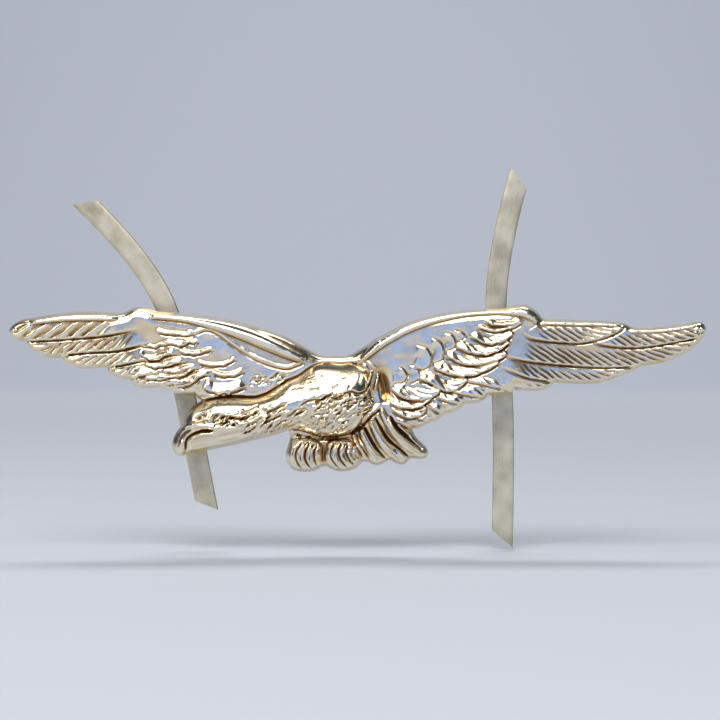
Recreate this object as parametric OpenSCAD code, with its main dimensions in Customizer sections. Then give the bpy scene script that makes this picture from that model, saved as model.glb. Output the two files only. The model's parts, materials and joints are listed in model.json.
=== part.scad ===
// Die-struck eagle cap badge, held on the cap by two soft brass strips whose four prongs fold out.
// It stands upright as it is worn: +X is the viewer's right, +Z is up and the struck front faces -Y.
// The hollow stamping's flat rim lies in the plane y = 0, and everything behind y = 0 is fixing.
// The origin is on the rim's plane, at mid-span and level with the middles of both strips.

/* [Eagle] */
// Distance from wing tip to wing tip
wing_span = 64; // [50:1:80]
// Height of the breast above the rim
relief = 3.2; // [2.8:0.1:4]
// Thickness of the struck sheet
sheet_t = 0.6; // [0.4:0.05:0.7]
// Width of the flat rim around the hollow
rim_w = 0.7; // [0.5:0.05:0.9]
// Thickness of the plain lip outside the raised work
lip_t = 0.3; // [0.2:0.05:0.5]
// Width of that plain lip
lip_w = 0.2; // [0.1:0.05:0.3]

/* [Fixing strips] */
// Width of the brass strip
strip_w = 1.95; // [1.6:0.05:2.4]
// Thickness of the brass strip
strip_t = 0.5; // [0.3:0.05:0.6]
// Room for the cap's cloth between the rim and a folded prong
cloth_gap = 2.15; // [2.1:0.05:3]
// Distance between the two standing arms of one strip
arm_pitch = 3.5; // [3:0.1:4]
// Inner radius of the bends at the foot of the arms
bend_r = 0.3; // [0.2:0.05:0.5]
// Running clearance between a prong's rounded root and its arm
fold_clear = 0.03; // [0.02:0.01:0.06]
// Sideways place of the left strip, in the eagle's own proportions
left_strip_x = -16.8; // [-18:0.1:-15]
// Lean of the left strip, towards the viewer's left at its top
left_lean = 11; // [0:1:15]
// Sideways place of the right strip, in the eagle's own proportions
right_strip_x = 13.1; // [12:0.1:14]
// Lean of the right strip, towards the viewer's left at its top
right_lean = 5; // [0:1:15]

/* [Prongs] */
// Reach of the left upper prong from its fold
left_upper_reach = 13.3; // [8:0.1:16]
// Sideways drift of its tip
left_upper_sway = -5.7; // [-7:0.1:7]
// How far it runs straight before it drifts
left_upper_straight = 5.2; // [3:0.1:7]
// How far aslant its tip is cut
left_upper_skew = 1.5; // [-1.6:0.1:1.6]
// Reach of the left lower prong from its fold
left_lower_reach = 12.9; // [11:0.1:16]
// Sideways drift of its tip
left_lower_sway = 0; // [-3:0.1:3]
// How far it runs straight before it drifts
left_lower_straight = 6; // [3:0.1:7]
// How far aslant its tip is cut
left_lower_skew = -1.2; // [-1.6:0.1:1.6]
// Reach of the right upper prong from its fold
right_upper_reach = 13.9; // [8:0.1:16]
// Sideways drift of its tip
right_upper_sway = 3.2; // [-7:0.1:7]
// How far it runs straight before it drifts
right_upper_straight = 5.5; // [3:0.1:7]
// How far aslant its tip is cut
right_upper_skew = 1.6; // [-1.6:0.1:1.6]
// Reach of the right lower prong from its fold
right_lower_reach = 15.7; // [8:0.1:18]
// Sideways drift of its tip
right_lower_sway = -1.2; // [-3:0.1:3]
// How far it runs straight before it drifts
right_lower_straight = 5; // [3:0.1:7]
// How far aslant its tip is cut
right_lower_skew = -1.6; // [-1.6:0.1:1.6]

/* [Solder] */
// Thickness of the solder between a strip and the sheet
solder_t = 0.12; // [0.08:0.01:0.2]
// Width of solder that shows at each side of a strip
solder_edge = 0.5; // [0.3:0.05:0.7]

/* [Hidden] */

brass = "goldenrod";
strip_brass = "darkkhaki";
solder_grey = "silver";

drawn_span = 64;                    // the eagle's points below are drawn at this span
drawn_relief = 3.2;                 // and at this height
plan = wing_span / drawn_span;      // scale of the outline
rise = relief / drawn_relief;       // scale of the heights
below = -1;                         // the work is drawn down to here, then cut off at the rim
land = 1.9 * rise - sheet_t;        // depth of the flat land that a strip is soldered to
fold_y = cloth_gap + strip_t / 2;   // the fold lines' distance behind the rim
arm_z = arm_pitch / 2;              // the fold lines' distance from a strip's middle
base_y = -land + solder_t + strip_t / 2;
arm_end_y = fold_y - strip_t / 2 - fold_clear;
section_steps = 8;
blade_steps = [0, 0.22, 0.44, 0.66, 0.84, 0.94, 1];

// Each row of a web is one upright slice: [x, lowest point, highest point, height].
left_wing_web = [
    [-32, 1.5, 2.1, 0.9], [-30.9, 0.95, 2.65, 1.2], [-28.6, -0.3, 3.05, 1.35],
    [-25.5, -1.3, 3.4, 1.5], [-22, -1.9, 3.3, 1.7], [-20, -2.9, 3.8, 1.85],
    [-17.5, -3.4, 3.4, 1.9], [-14, -4.5, 3.1, 1.95], [-10, -4.9, 2.25, 2],
    [-6, -5, 0.95, 2.1], [-3.4, -3.5, -0.5, 2.1], [-0.6, -3.2, -0.5, 2.1]];
right_wing_web = [
    [-0.6, -3.2, -0.5, 2.1], [1.6, -5.8, 0.95, 2.1], [4.2, -6.6, 2.35, 2.1],
    [7, -6.3, 3.25, 2.05], [10, -4.9, 3.65, 2], [13.4, -4, 3.75, 1.95], [15, -3.7, 4.1, 1.9],
    [17, -3.4, 2.85, 1.8], [20, -2.9, 2.65, 1.65], [24, -2.3, 2.4, 1.5], [27, -1.3, 2, 1.35],
    [29.6, -0.5, 2.35, 1.2], [31.2, 0.7, 2.5, 1.1], [32, 1.6, 2.2, 0.9]];
body_web = [
    [-16.85, -9.2, -8.1, 1.3], [-16.2, -9.6, -7.2, 1.6], [-15.4, -9.4, -5.7, 2],
    [-14, -9.3, -4.6, 2.4], [-11.5, -8.7, -4.1, 2.7], [-8.5, -8.1, -3.9, 2.8],
    [-5.5, -7.7, -2.4, 3], [-3, -7.9, -1.1, 3.1], [-0.5, -7.7, -0.6, 3],
    [1.2, -6.6, -1, 2.6], [2.5, -5.4, -2.2, 2.2]];
tail_web = [
    [-6.1, -10.2, -7.1, 1.5], [-4.8, -10.7, -6.8, 1.9], [-3.2, -10.2, -6.8, 1.7],
    [-1.4, -10.7, -6.8, 1.9], [0.4, -9.8, -6.5, 1.8], [2.2, -10, -5.2, 1.6],
    [4.2, -9.9, -7, 1.4], [5.9, -9.6, -8.7, 1.1]];

// Each feather is [root, bend, tip, half widths at root, middle and tip, heights at root and tip].
left_primaries = [
    [[-17.5, -1.2], [-19, -3], [-20.7, -3], 0.7, 0.7, 0.5, 2.1, 1.35],
    [[-16.5, -0.4], [-19.5, -2], [-22.8, -2.05], 0.8, 0.75, 0.5, 2.2, 1.4],
    [[-16.5, 0.3], [-22, -0.6], [-27.1, -0.95], 0.9, 0.85, 0.6, 2.25, 1.45],
    [[-18.3, 1], [-24, 0.6], [-30.2, 0.3], 0.7, 0.85, 0.55, 2.35, 1.45],
    [[-18, 2.3], [-25, 2.2], [-31.7, 1.75], 0.7, 0.85, 0.75, 2.45, 1.4]];
left_coverts = [
    [[-12, -2.6], [-15, -3.3], [-17.6, -3.5], 0.7, 0.6, 0.35, 2.35, 1.7],
    [[-12.5, -1.8], [-14.5, -2.9], [-17.8, -3], 0.6, 0.6, 0.35, 2.4, 2],
    [[-13.5, -1.1], [-15.5, -2], [-18.6, -2.2], 0.6, 0.6, 0.3, 2.45, 2.1],
    [[-14.5, -0.6], [-16.5, -1.2], [-19.2, -1.4], 0.6, 0.6, 0.3, 2.5, 2.2],
    [[-15, 0.1], [-17, -0.5], [-20, -0.4], 0.6, 0.6, 0.3, 2.55, 2.25],
    [[-13, 0.4], [-15.5, 0.6], [-18.3, 0.2], 0.5, 0.55, 0.3, 2.6, 2.35],
    [[-12.5, 1.2], [-15.5, 1.6], [-18.8, 1.3], 0.5, 0.5, 0.3, 2.7, 2.45],
    [[-9, -2.6], [-11.5, -3.6], [-14.2, -3.5], 0.7, 0.8, 0.5, 2.5, 2.3],
    [[-8, -1.9], [-10.5, -2.4], [-13.2, -2.3], 0.6, 0.6, 0.3, 2.6, 2.4],
    [[-8.5, -1.2], [-11.5, -1.2], [-15, -1.4], 0.6, 0.6, 0.3, 2.65, 2.4],
    [[-8, -0.4], [-11, 0.1], [-14, 0], 0.6, 0.6, 0.3, 2.7, 2.5]];
left_edges = [
    [[-19.6, 2.9], [-25.5, 3.4], [-31.2, 2.3], 0.45, 0.4, 0.3, 2.3, 1.45],
    [[-4.4, -1], [-10.5, 2.5], [-20.6, 2.95], 0.45, 0.62, 0.4, 2.5, 2.35]];
right_primaries = [
    [[11.2, -1.7], [14.5, -3.2], [18, -2.95], 0.8, 0.75, 0.4, 2.15, 1.5],
    [[13, -1.2], [19, -2.5], [25.9, -1.7], 0.8, 0.9, 0.35, 2.2, 1.35],
    [[14.4, 0.2], [23, -1.4], [31.2, 0.6], 0.9, 1.05, 0.5, 2.3, 1.35],
    [[19, 0.9], [25, 0.9], [31.7, 1.85], 0.8, 0.85, 0.6, 2.1, 1.45],
    [[15.2, 1.8], [20, 1.3], [24.7, 2], 0.7, 0.8, 0.4, 2.45, 1.7]];
right_secondaries = [
    [[3, -5.2], [4, -7], [6.6, -6.4], 0.6, 0.6, 0.4, 2.1, 1.6],
    [[3.2, -4.4], [5, -6.5], [7.8, -5.8], 0.6, 0.6, 0.4, 2.2, 1.65],
    [[3.2, -3.6], [5.6, -5.8], [9.6, -5], 0.7, 0.65, 0.4, 2.3, 1.7],
    [[3.8, -2.9], [7, -5.2], [11.7, -4.4], 0.7, 0.65, 0.4, 2.35, 1.75],
    [[5.6, -2.3], [9, -4.4], [13.8, -3.7], 0.7, 0.7, 0.45, 2.4, 1.8],
    [[6.6, -1.6], [9.6, -3.6], [14.4, -2.6], 0.6, 0.65, 0.45, 2.45, 1.95],
    [[7.6, -0.8], [9.6, -2.6], [13.6, -1.4], 0.6, 0.65, 0.45, 2.5, 2.1],
    [[8.6, 0], [10.4, -1.5], [14, -0.5], 0.6, 0.65, 0.45, 2.55, 2.25],
    [[9.4, 0.9], [11.2, -0.5], [14.6, 0.6], 0.6, 0.65, 0.45, 2.6, 2.35],
    [[10.2, 1.8], [12, 0.8], [15, 1.7], 0.5, 0.55, 0.4, 2.65, 2.45],
    [[11, 2.5], [13, 1.8], [15.3, 2.5], 0.4, 0.45, 0.35, 2.7, 2.5]];
right_scales = [
    [[1.6, -1.2], [3, -1.8], [4.2, -2.6], 0.7, 0.8, 0.6, 2.6, 2.55],
    [[2.6, -0.6], [4.4, -1.6], [5.6, -2.3], 0.7, 0.8, 0.6, 2.7, 2.65],
    [[3.4, 0], [5, -0.6], [6.5, -1.3], 0.8, 0.9, 0.7, 2.8, 2.75],
    [[4.6, 0.8], [6.2, 0.3], [7.6, -0.4], 0.7, 0.8, 0.6, 2.8, 2.75],
    [[5.8, 1.5], [7.4, 1.2], [8.8, 0.5], 0.6, 0.7, 0.5, 2.8, 2.7],
    [[7.2, 2], [8.8, 1.9], [10.2, 1.4], 0.5, 0.6, 0.4, 2.75, 2.65],
    [[9, 2.5], [10.6, 2.5], [12, 2.2], 0.4, 0.5, 0.35, 2.7, 2.6]];
right_edges = [
    [[16.4, 2.3], [20.5, 2.35], [24.3, 2.1], 0.4, 0.35, 0.25, 2.3, 1.75],
    [[24.4, 1.7], [28, 1.6], [31.3, 2.2], 0.3, 0.3, 0.25, 1.75, 1.45],
    [[0.8, -0.9], [5, 3.4], [14.5, 3.4], 0.55, 0.65, 0.45, 2.6, 2.45]];
tail_feathers = [
    [[0.6, -6.6], [0.4, -8.5], [1.9, -10.1], 0.45, 0.55, 0.45, 2.3, 1.6],
    [[1.3, -6], [1.4, -8.4], [3, -9.9], 0.45, 0.55, 0.4, 2.3, 1.5],
    [[2, -5.4], [2.5, -8.3], [4.5, -10.1], 0.5, 0.6, 0.5, 2.2, 1.45],
    [[2.6, -5.2], [3.6, -7.7], [6.1, -9.6], 0.45, 0.6, 0.5, 2.1, 1.4]];
head_marks = [
    [[-9.5, -5.6], [-12, -4.5], [-15.2, -6], 0.9, 1.2, 0.7, 3, 2.6],
    [[-12.6, -7.2], [-15.4, -7], [-16.6, -9.2], 0.9, 0.75, 0.35, 2.75, 1.9],
    [[-7.5, -7.4], [-11.5, -8], [-15.1, -8.8], 0.35, 0.5, 0.3, 2.6, 2],
    [[-8.5, -5.4], [-10.5, -6.3], [-12.4, -6.2], 0.35, 0.4, 0.25, 3.2, 2.95],
    [[-2, -2.2], [-4.5, -3.2], [-8.5, -5], 1.2, 1.4, 0.8, 3.2, 3.05],
    [[0.6, -5.6], [-2.5, -6.6], [-6, -7], 0.9, 1, 0.6, 3, 2.8]];
// The knuckle at the bend of each wing: [x, y, half its length, height].
wrists = [[-19.9, 3, 1.7, 2.4], [15, 3.35, 1.9, 2.4]];
wrist_half_width = 0.8;
eye_place = [-13.9, -6.1];
eye_height = 2.75;
// Two bunches of curled claw plumes, each plume by four points from its foot to its end.
claw_bunches = [-4.9, -1.45];
claw_height = 1.85;                 // at a plume's foot
claw_fall = 0.15;                   // how much lower each next point lies
claw_radius = 0.4;
claw_curls = [for (x = claw_bunches, k = [-1.5 : 1.5])
    [[x + 0.55 * k + 0.3, -8], [x + 0.8 * k - 0.15, -9], [x + 0.8 * k, -10.1 + 0.1 * abs(k)],
        [x + 0.6 * k + 0.3, -10.8 + 0.2 * abs(k)]]];

function at(p) = [p.x * plan, p.y * plan];
function lerp(a, b, t) = a + (b - a) * t;
function curve(p, t) = p[0] * (1 - t) * (1 - t) + p[1] * 2 * t * (1 - t) + p[2] * t * t;
function heading(p, t) = (p[1] - p[0]) * (1 - t) + (p[2] - p[1]) * t;
function unit(v) = v / norm(v);
function left_of(v) = [-v.y, v.x];

// One slice of a web. inset and drop make the hollow's slice out of the same row.
function slice(row, inset, drop, edge) =
    let (half = (row[2] - row[1]) / 2 * plan - inset, mid = (row[2] + row[1]) / 2 * plan,
        top = row[3] * rise - drop)
    concat([[row.x * plan, mid + half, below]],
        [for (i = [0 : section_steps])
            let (a = 180 * i / section_steps, w = edge > 0 ? half - lip_w : half)
            [row.x * plan, mid + w * cos(a), edge + (top - edge) * pow(sin(a), 0.6)]],
        [[row.x * plan, mid - half, below]]);

// One cross-section of a feather at t along its quill: the proud side is where the next one tucks under.
function feather_slice(f, t, proud) =
    let (quill = [f[0], f[1], f[2]], c = curve(quill, t), side = left_of(unit(heading(quill, t))),
        full = curve([f[3], f[4] * 2 - (f[3] + f[5]) / 2, f[5]], t),
        w = full * (t > 0.66 ? max(0.2, sqrt(1 - pow((t - 0.66) / 0.35, 2))) : 1),
        h = lerp(f[6], f[7], t), camber = [0.7, 0.87, 0.97, 1, 0.9])
    concat([[(c + side * w).x * plan, (c + side * w).y * plan, below]],
        [for (i = [0 : 4])
            let (u = 1 - i / 2, p = c + side * w * u, k = camber[proud > 0 ? i : 4 - i])
            [p.x * plan, p.y * plan, h * k * rise]],
        [[(c - side * w).x * plan, (c - side * w).y * plan, below]]);

// A closed solid through a row of rings that all have the same number of points.
module loft(rings) {
    n = len(rings[0]);
    last = len(rings) - 1;
    sides = [for (i = [0 : last - 1], j = [0 : n - 1])
        let (a = i * n + j, b = i * n + (j + 1) % n, c = a + n, d = b + n)
        each [[a, c, d], [a, d, b]]];
    polyhedron(points = [for (r = rings) each r],
        faces = concat([[for (j = [0 : n - 1]) j]], sides, [[for (j = [n - 1 : -1 : 0]) last * n + j]]));
}

module web(rows) {
    loft([for (r = rows) slice(r, 0, 0, lip_t)]);
}

// The hollow under a web leaves out its end slices, where the sheet closes.
module web_hollow(rows, from, to) {
    loft([for (i = [from : to]) slice(rows[i], rim_w, sheet_t, 0)]);
}

module feathers(rows, proud) {
    for (f = rows) loft([for (t = blade_steps) feather_slice(f, t, proud)]);
}

module claw_plume(c) {
    for (i = [0 : 2]) hull() for (k = [i, i + 1]) {
        p = at(c[k]);
        translate([p.x, p.y, (claw_height - claw_fall * k) * rise])
            scale([1, 1, 1.3]) sphere(r = claw_radius, $fn = 8);
        translate([p.x, p.y, below]) cylinder(h = 0.1, r = 0.95 * claw_radius, $fn = 6);
    }
}

module wrist(w) {
    p = at(w);
    translate([p.x, p.y, 0]) scale([w[2], wrist_half_width, w[3] * rise]) sphere(r = 1, $fn = 20);
}

module eye() {
    p = at(eye_place);
    translate([p.x, p.y, eye_height * rise]) scale([0.4, 0.3, 0.3]) sphere(r = 1, $fn = 12);
}

// The flat land that a strip is soldered to, cut into the hollow's roof.
module solder_land(x, lean) {
    translate([x * plan, 0, below]) rotate(lean) translate([0, 0, (land - below) / 2])
        cube([strip_w + 2 * solder_edge, arm_pitch + strip_t + 2 * solder_edge, land - below], center = true);
}

module hollow() {
    web_hollow(left_wing_web, 2, 11);
    web_hollow(right_wing_web, 0, 11);
    web_hollow(body_web, 2, 9);
    web_hollow(tail_web, 1, 6);
    solder_land(left_strip_x, left_lean);
    solder_land(right_strip_x, right_lean);
}

module raised_work() {
    web(left_wing_web);
    web(right_wing_web);
    web(body_web);
    web(tail_web);
    feathers(left_primaries, 0);
    feathers(left_coverts, 0);
    feathers(left_edges, 0);
    feathers(right_primaries, 1);
    feathers(right_secondaries, 1);
    feathers(right_scales, 1);
    feathers(right_edges, 1);
    feathers(tail_feathers, 0);
    feathers(head_marks, 0);
    for (w = wrists) wrist(w);
    eye();
    for (c = claw_curls) claw_plume(c);
}

module eagle_stamping() {
    color(brass) rotate([90, 0, 0]) difference() {
        raised_work();
        hollow();
        translate([0, 0, -relief]) cube([2 * wing_span, wing_span, 2 * relief], center = true);
    }
}

// Puts a piece drawn along +Z about a strip's middle into its place.
module on_strip(x, lean) {
    translate([x * plan, 0, 0]) rotate([0, -lean, 0]) children();
}

// The bend at the foot of one arm, and the arm's square end, as [distance along the strip, y].
function strip_arc(way, r) = [for (a = [0 : 15 : 90])
    [way * (arm_z - bend_r - strip_t / 2 + r * sin(a)), base_y + bend_r + strip_t / 2 - r * cos(a)]];
function arm_end(way, face) = [[way * (arm_z + face * strip_t / 2), arm_end_y]];
function backwards(list) = [for (i = [len(list) - 1 : -1 : 0]) list[i]];

// The middle of a strip: a flat foot in the hollow and two arms that stand up behind the rim.
module clip_base(x, lean) {
    outer = bend_r + strip_t;
    color(strip_brass) on_strip(x, lean) translate([strip_w / 2, 0, 0]) rotate([0, -90, 0])
        linear_extrude(strip_w) polygon(concat(
            strip_arc(1, outer), arm_end(1, 1), arm_end(1, -1), backwards(strip_arc(1, bend_r)),
            strip_arc(-1, bend_r), arm_end(-1, -1), arm_end(-1, 1), backwards(strip_arc(-1, outer))));
}

// One prong, folded out flat. way is 1 for an upper prong and -1 for a lower one.
// straight is how far it runs before it drifts, and skew is how much the tip is cut aslant.
module prong(x, lean, way, reach, sway, straight, skew) {
    quill = [[0, 0], [0, straight], [sway, reach]];
    steps = [for (i = [0 : 11]) i / 12];
    tip = unit(heading(quill, 1));
    tip_half = left_of(tip) * strip_w / 2;
    color(strip_brass) on_strip(x, lean) translate([0, fold_y, way * arm_z]) {
        rotate([90, 0, 0]) linear_extrude(strip_t, center = true) scale([1, way]) polygon(concat(
            prong_edge(quill, steps, 1), [quill[2] + tip_half + tip * skew / 2],
            [quill[2] - tip_half - tip * skew / 2], backwards(prong_edge(quill, steps, -1))));
        rotate([0, 90, 0]) cylinder(h = strip_w, d = strip_t, center = true, $fn = 32);
    }
}
function prong_edge(quill, steps, side) =
    [for (t = steps) curve(quill, t) + left_of(unit(heading(quill, t))) * side * strip_w / 2];

// The thin pool of solder between a strip's foot and the land.
module solder_pool(x, lean) {
    color(solder_grey) on_strip(x, lean) translate([0, -land + solder_t / 2, 0])
        cube([strip_w + solder_edge, solder_t, arm_pitch - 2 * bend_r + solder_edge], center = true);
}

module left_clip_base() { clip_base(left_strip_x, left_lean); }
module right_clip_base() { clip_base(right_strip_x, right_lean); }
module left_upper_prong() {
    prong(left_strip_x, left_lean, 1, left_upper_reach, left_upper_sway, left_upper_straight,
        left_upper_skew);
}
module left_lower_prong() {
    prong(left_strip_x, left_lean, -1, left_lower_reach, left_lower_sway, left_lower_straight,
        left_lower_skew);
}
module right_upper_prong() {
    prong(right_strip_x, right_lean, 1, right_upper_reach, right_upper_sway, right_upper_straight,
        right_upper_skew);
}
module right_lower_prong() {
    prong(right_strip_x, right_lean, -1, right_lower_reach, right_lower_sway, right_lower_straight,
        right_lower_skew);
}
module left_solder() { solder_pool(left_strip_x, left_lean); }
module right_solder() { solder_pool(right_strip_x, right_lean); }

eagle_stamping();
left_clip_base();
right_clip_base();
left_upper_prong();
left_lower_prong();
right_upper_prong();
right_lower_prong();
left_solder();
right_solder();
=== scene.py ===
import json
import math
import bmesh
import bpy
import numpy as np
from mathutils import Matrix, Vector


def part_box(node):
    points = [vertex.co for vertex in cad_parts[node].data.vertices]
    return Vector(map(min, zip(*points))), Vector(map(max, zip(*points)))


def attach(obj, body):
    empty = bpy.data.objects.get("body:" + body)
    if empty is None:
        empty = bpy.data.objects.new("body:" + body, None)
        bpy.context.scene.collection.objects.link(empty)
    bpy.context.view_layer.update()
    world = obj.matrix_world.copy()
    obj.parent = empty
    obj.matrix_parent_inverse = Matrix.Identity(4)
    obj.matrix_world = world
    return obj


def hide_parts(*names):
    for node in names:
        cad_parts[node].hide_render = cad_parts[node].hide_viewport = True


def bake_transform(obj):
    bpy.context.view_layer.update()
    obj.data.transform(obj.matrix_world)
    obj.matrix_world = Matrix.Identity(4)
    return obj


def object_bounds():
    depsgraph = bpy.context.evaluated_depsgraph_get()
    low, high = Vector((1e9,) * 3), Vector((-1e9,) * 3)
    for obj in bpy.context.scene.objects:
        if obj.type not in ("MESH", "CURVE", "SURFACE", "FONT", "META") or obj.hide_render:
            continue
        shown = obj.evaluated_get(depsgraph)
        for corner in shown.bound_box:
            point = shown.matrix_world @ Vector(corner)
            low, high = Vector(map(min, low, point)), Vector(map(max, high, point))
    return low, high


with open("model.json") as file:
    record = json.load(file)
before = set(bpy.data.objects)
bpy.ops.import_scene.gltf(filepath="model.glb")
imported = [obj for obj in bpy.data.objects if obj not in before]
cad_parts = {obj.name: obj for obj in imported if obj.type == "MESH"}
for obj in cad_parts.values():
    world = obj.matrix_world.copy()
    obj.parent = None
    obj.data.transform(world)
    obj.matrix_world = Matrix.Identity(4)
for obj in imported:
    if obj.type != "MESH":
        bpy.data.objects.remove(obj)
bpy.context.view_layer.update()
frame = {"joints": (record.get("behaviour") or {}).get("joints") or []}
mm = 0.001
joints = {j["name"]: j for j in frame["joints"]}


# the sculpting table is a grid over the eagle's face, in the eagle's own drawing millimetres
table = {
    "drawnSpan": 64.0,      # wing span that the eagle is drawn at
    "drawnRelief": 3.2,     # height of the breast in the drawing
    "low": (-32.4, -11.7),  # corners of the table
    "high": (32.4, 4.8),
    "cell": 0.083,          # a mesh cell; the relief is worked out on cells half as wide
}

eagleLow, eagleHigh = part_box("eagle_stamping")
plan = (eagleHigh.x - eagleLow.x) / mm / table["drawnSpan"]
rise = -eagleLow.y / mm / table["drawnRelief"]
fine = table["cell"] / 2
countX = 2 * int((table["high"][0] - table["low"][0]) / table["cell"])
countZ = 2 * int((table["high"][1] - table["low"][1]) / table["cell"])
gridX = table["low"][0] + (np.arange(countX) + 0.5) * fine
gridZ = table["low"][1] + (np.arange(countZ) + 0.5) * fine
gridShape = (countZ, countX)


def smooth(t):
    t = np.clip(t, 0, 1)
    return t * t * (3 - 2 * t)


def higher(a, b, soft=0.06):    # the higher of two surfaces, with a small fillet between them
    return 0.5 * (a + b + np.sqrt((a - b) ** 2 + soft * soft))


def roundOver(t):    # a quarter circle, from 0 at the edge to 1
    return np.sqrt(np.clip(1 - (1 - np.clip(t, 0, 1)) ** 2, 0, 1))


def softNoise(spacing, seed):    # smooth noise from -1 to 1 over the whole table
    rng = np.random.default_rng(seed)
    u = (gridX - gridX[0]) / spacing
    v = (gridZ - gridZ[0]) / spacing
    knots = rng.uniform(-1, 1, (int(v[-1]) + 2, int(u[-1]) + 2))
    i, j = v.astype(int), u.astype(int)
    a, b = smooth(v - i)[:, None], smooth(u - j)[None, :]
    top = knots[i][:, j] * (1 - b) + knots[i][:, j + 1] * b
    bottom = knots[i + 1][:, j] * (1 - b) + knots[i + 1][:, j + 1] * b
    return top * (1 - a) + bottom * a


def blur(field, radius):    # three box blurs, close to a Gaussian of that radius in millimetres
    n = max(1, int(radius / fine))
    for axis in (0, 1):
        for _ in range(3):
            pad = [(n + 1, n) if k == axis else (0, 0) for k in (0, 1)]
            total = np.cumsum(np.pad(field, pad, mode="edge"), axis=axis)
            size = field.shape[axis]
            ahead = np.take(total, np.arange(2 * n + 1, 2 * n + 1 + size), axis=axis)
            behind = np.take(total, np.arange(size), axis=axis)
            field = (ahead - behind) / (2 * n + 1)
    return field


def curveThrough(points, closed=False, step=0.18):    # a smooth line through the points
    p = np.array(points, float)
    if closed:
        q = np.vstack([p[-1:], p, p[:2]])
    else:
        q = np.vstack([2 * p[:1] - p[1:2], p, 2 * p[-1:] - p[-2:-1]])
    line = []
    for a, b, c, d in zip(q[:-3], q[1:-2], q[2:-1], q[3:]):
        n = max(1, math.ceil(np.linalg.norm(c - b) / step))
        t = (np.arange(n) / n)[:, None]
        line.append(0.5 * (2 * b + (c - a) * t + (2 * a - 5 * b + 4 * c - d) * t ** 2
                           + (3 * b - a - 3 * c + d) * t ** 3))
    return np.vstack(line if closed else line + [p[-1:]])


def cells(low, high):    # the table's cells between two corners
    i0 = max(0, int((low[0] - gridX[0]) / fine))
    i1 = min(countX, max(i0, int((high[0] - gridX[0]) / fine) + 2))
    j0 = max(0, int((low[1] - gridZ[0]) / fine))
    j1 = min(countZ, max(j0, int((high[1] - gridZ[0]) / fine) + 2))
    return slice(j0, j1), slice(i0, i1)


def measure(line, reach, closed=False):
    # distance from the line (+ on its left) and length along it, for the cells within reach
    area = cells(line.min(0) - reach, line.max(0) + reach)
    shape = (area[0].stop - area[0].start, area[1].stop - area[1].start)
    near, side, along = np.full(shape, float(reach)), np.ones(shape), np.full(shape, -1.0)
    ahead = np.roll(line, -1, 0) if closed else line[1:]
    run, last = 0.0, len(ahead) - 1
    for n, (a, b) in enumerate(zip(line, ahead)):
        length = float(np.hypot(*(b - a)))
        if length < 1e-6:
            continue
        d = (b - a) / length
        part = cells(np.minimum(a, b) - reach, np.maximum(a, b) + reach)
        here = tuple(slice(p.start - q.start, p.stop - q.start) for p, q in zip(part, area))
        x = gridX[part[1]][None, :] - a[0]
        z = gridZ[part[0]][:, None] - a[1]
        t = x * d[0] + z * d[1]
        across = d[0] * z - d[1] * x
        held = np.clip(t, 0, length)
        gap = np.hypot(across, t - held)
        better = gap < near[here]
        near[here] = np.where(better, gap, near[here])
        side[here] = np.where(better, np.where(across >= 0, 1, -1), side[here])
        free = not closed and n in (0, last)
        along[here] = np.where(better, run + (t if free else held), along[here])
        run += length
    return area, near * side, along, run


def insideOf(line, area):    # which cells of the area the closed line holds
    x, z = gridX[area[1]], gridZ[area[0]]
    held = np.zeros((len(z), len(x)), bool)
    for a, b in zip(line, np.roll(line, -1, 0)):
        if a[1] == b[1]:
            continue
        rows = np.nonzero((z >= min(a[1], b[1])) & (z < max(a[1], b[1])))[0]
        if len(rows):
            crossing = a[0] + (z[rows] - a[1]) / (b[1] - a[1]) * (b[0] - a[0])
            held[rows] ^= x[None, :] < crossing[:, None]
    return held


def signedInside(outline, reach):    # distance inside a closed outline, negative outside
    line = curveThrough(outline, closed=True)
    area, s, _, _ = measure(line, reach, closed=True)
    held = insideOf(line, area)
    return area, np.where(held, np.abs(s), -np.abs(s))


def depthInside(mask, reach):    # distance of each cell inside the mask from its edge, up to reach
    n = int(reach / fine)
    away = np.where(mask, n + 1.0, 0.0)
    for _ in range(n):    # first straight up and down
        step = np.minimum(np.roll(away, 1, 0), np.roll(away, -1, 0)) + 1
        away = np.where(mask, np.minimum(away, step), 0)
    best = away ** 2
    for k in range(1, n + 1):    # then sideways, as a square root of squares
        for way in (k, -k):
            best = np.minimum(best, np.roll(away, way, 1) ** 2 + k * k)
    return np.sqrt(best) * fine


# the eagle's relief is built up on these layers
silhouette = np.full(gridShape, -9.0)    # distance inside the outline
coat = np.zeros(gridShape)               # raised feathers and bands on the wings
carved = np.zeros(gridShape)             # fine lines on everything
solidWork = np.zeros(gridShape)          # body, head, claws and tail, as heights of their own
wobble = softNoise(0.8, 11)
patchy = softNoise(0.45, 12)


def addWeb(outline):
    area, s = signedInside(outline, 1.2)
    silhouette[area] = np.maximum(silhouette[area], s)


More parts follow.
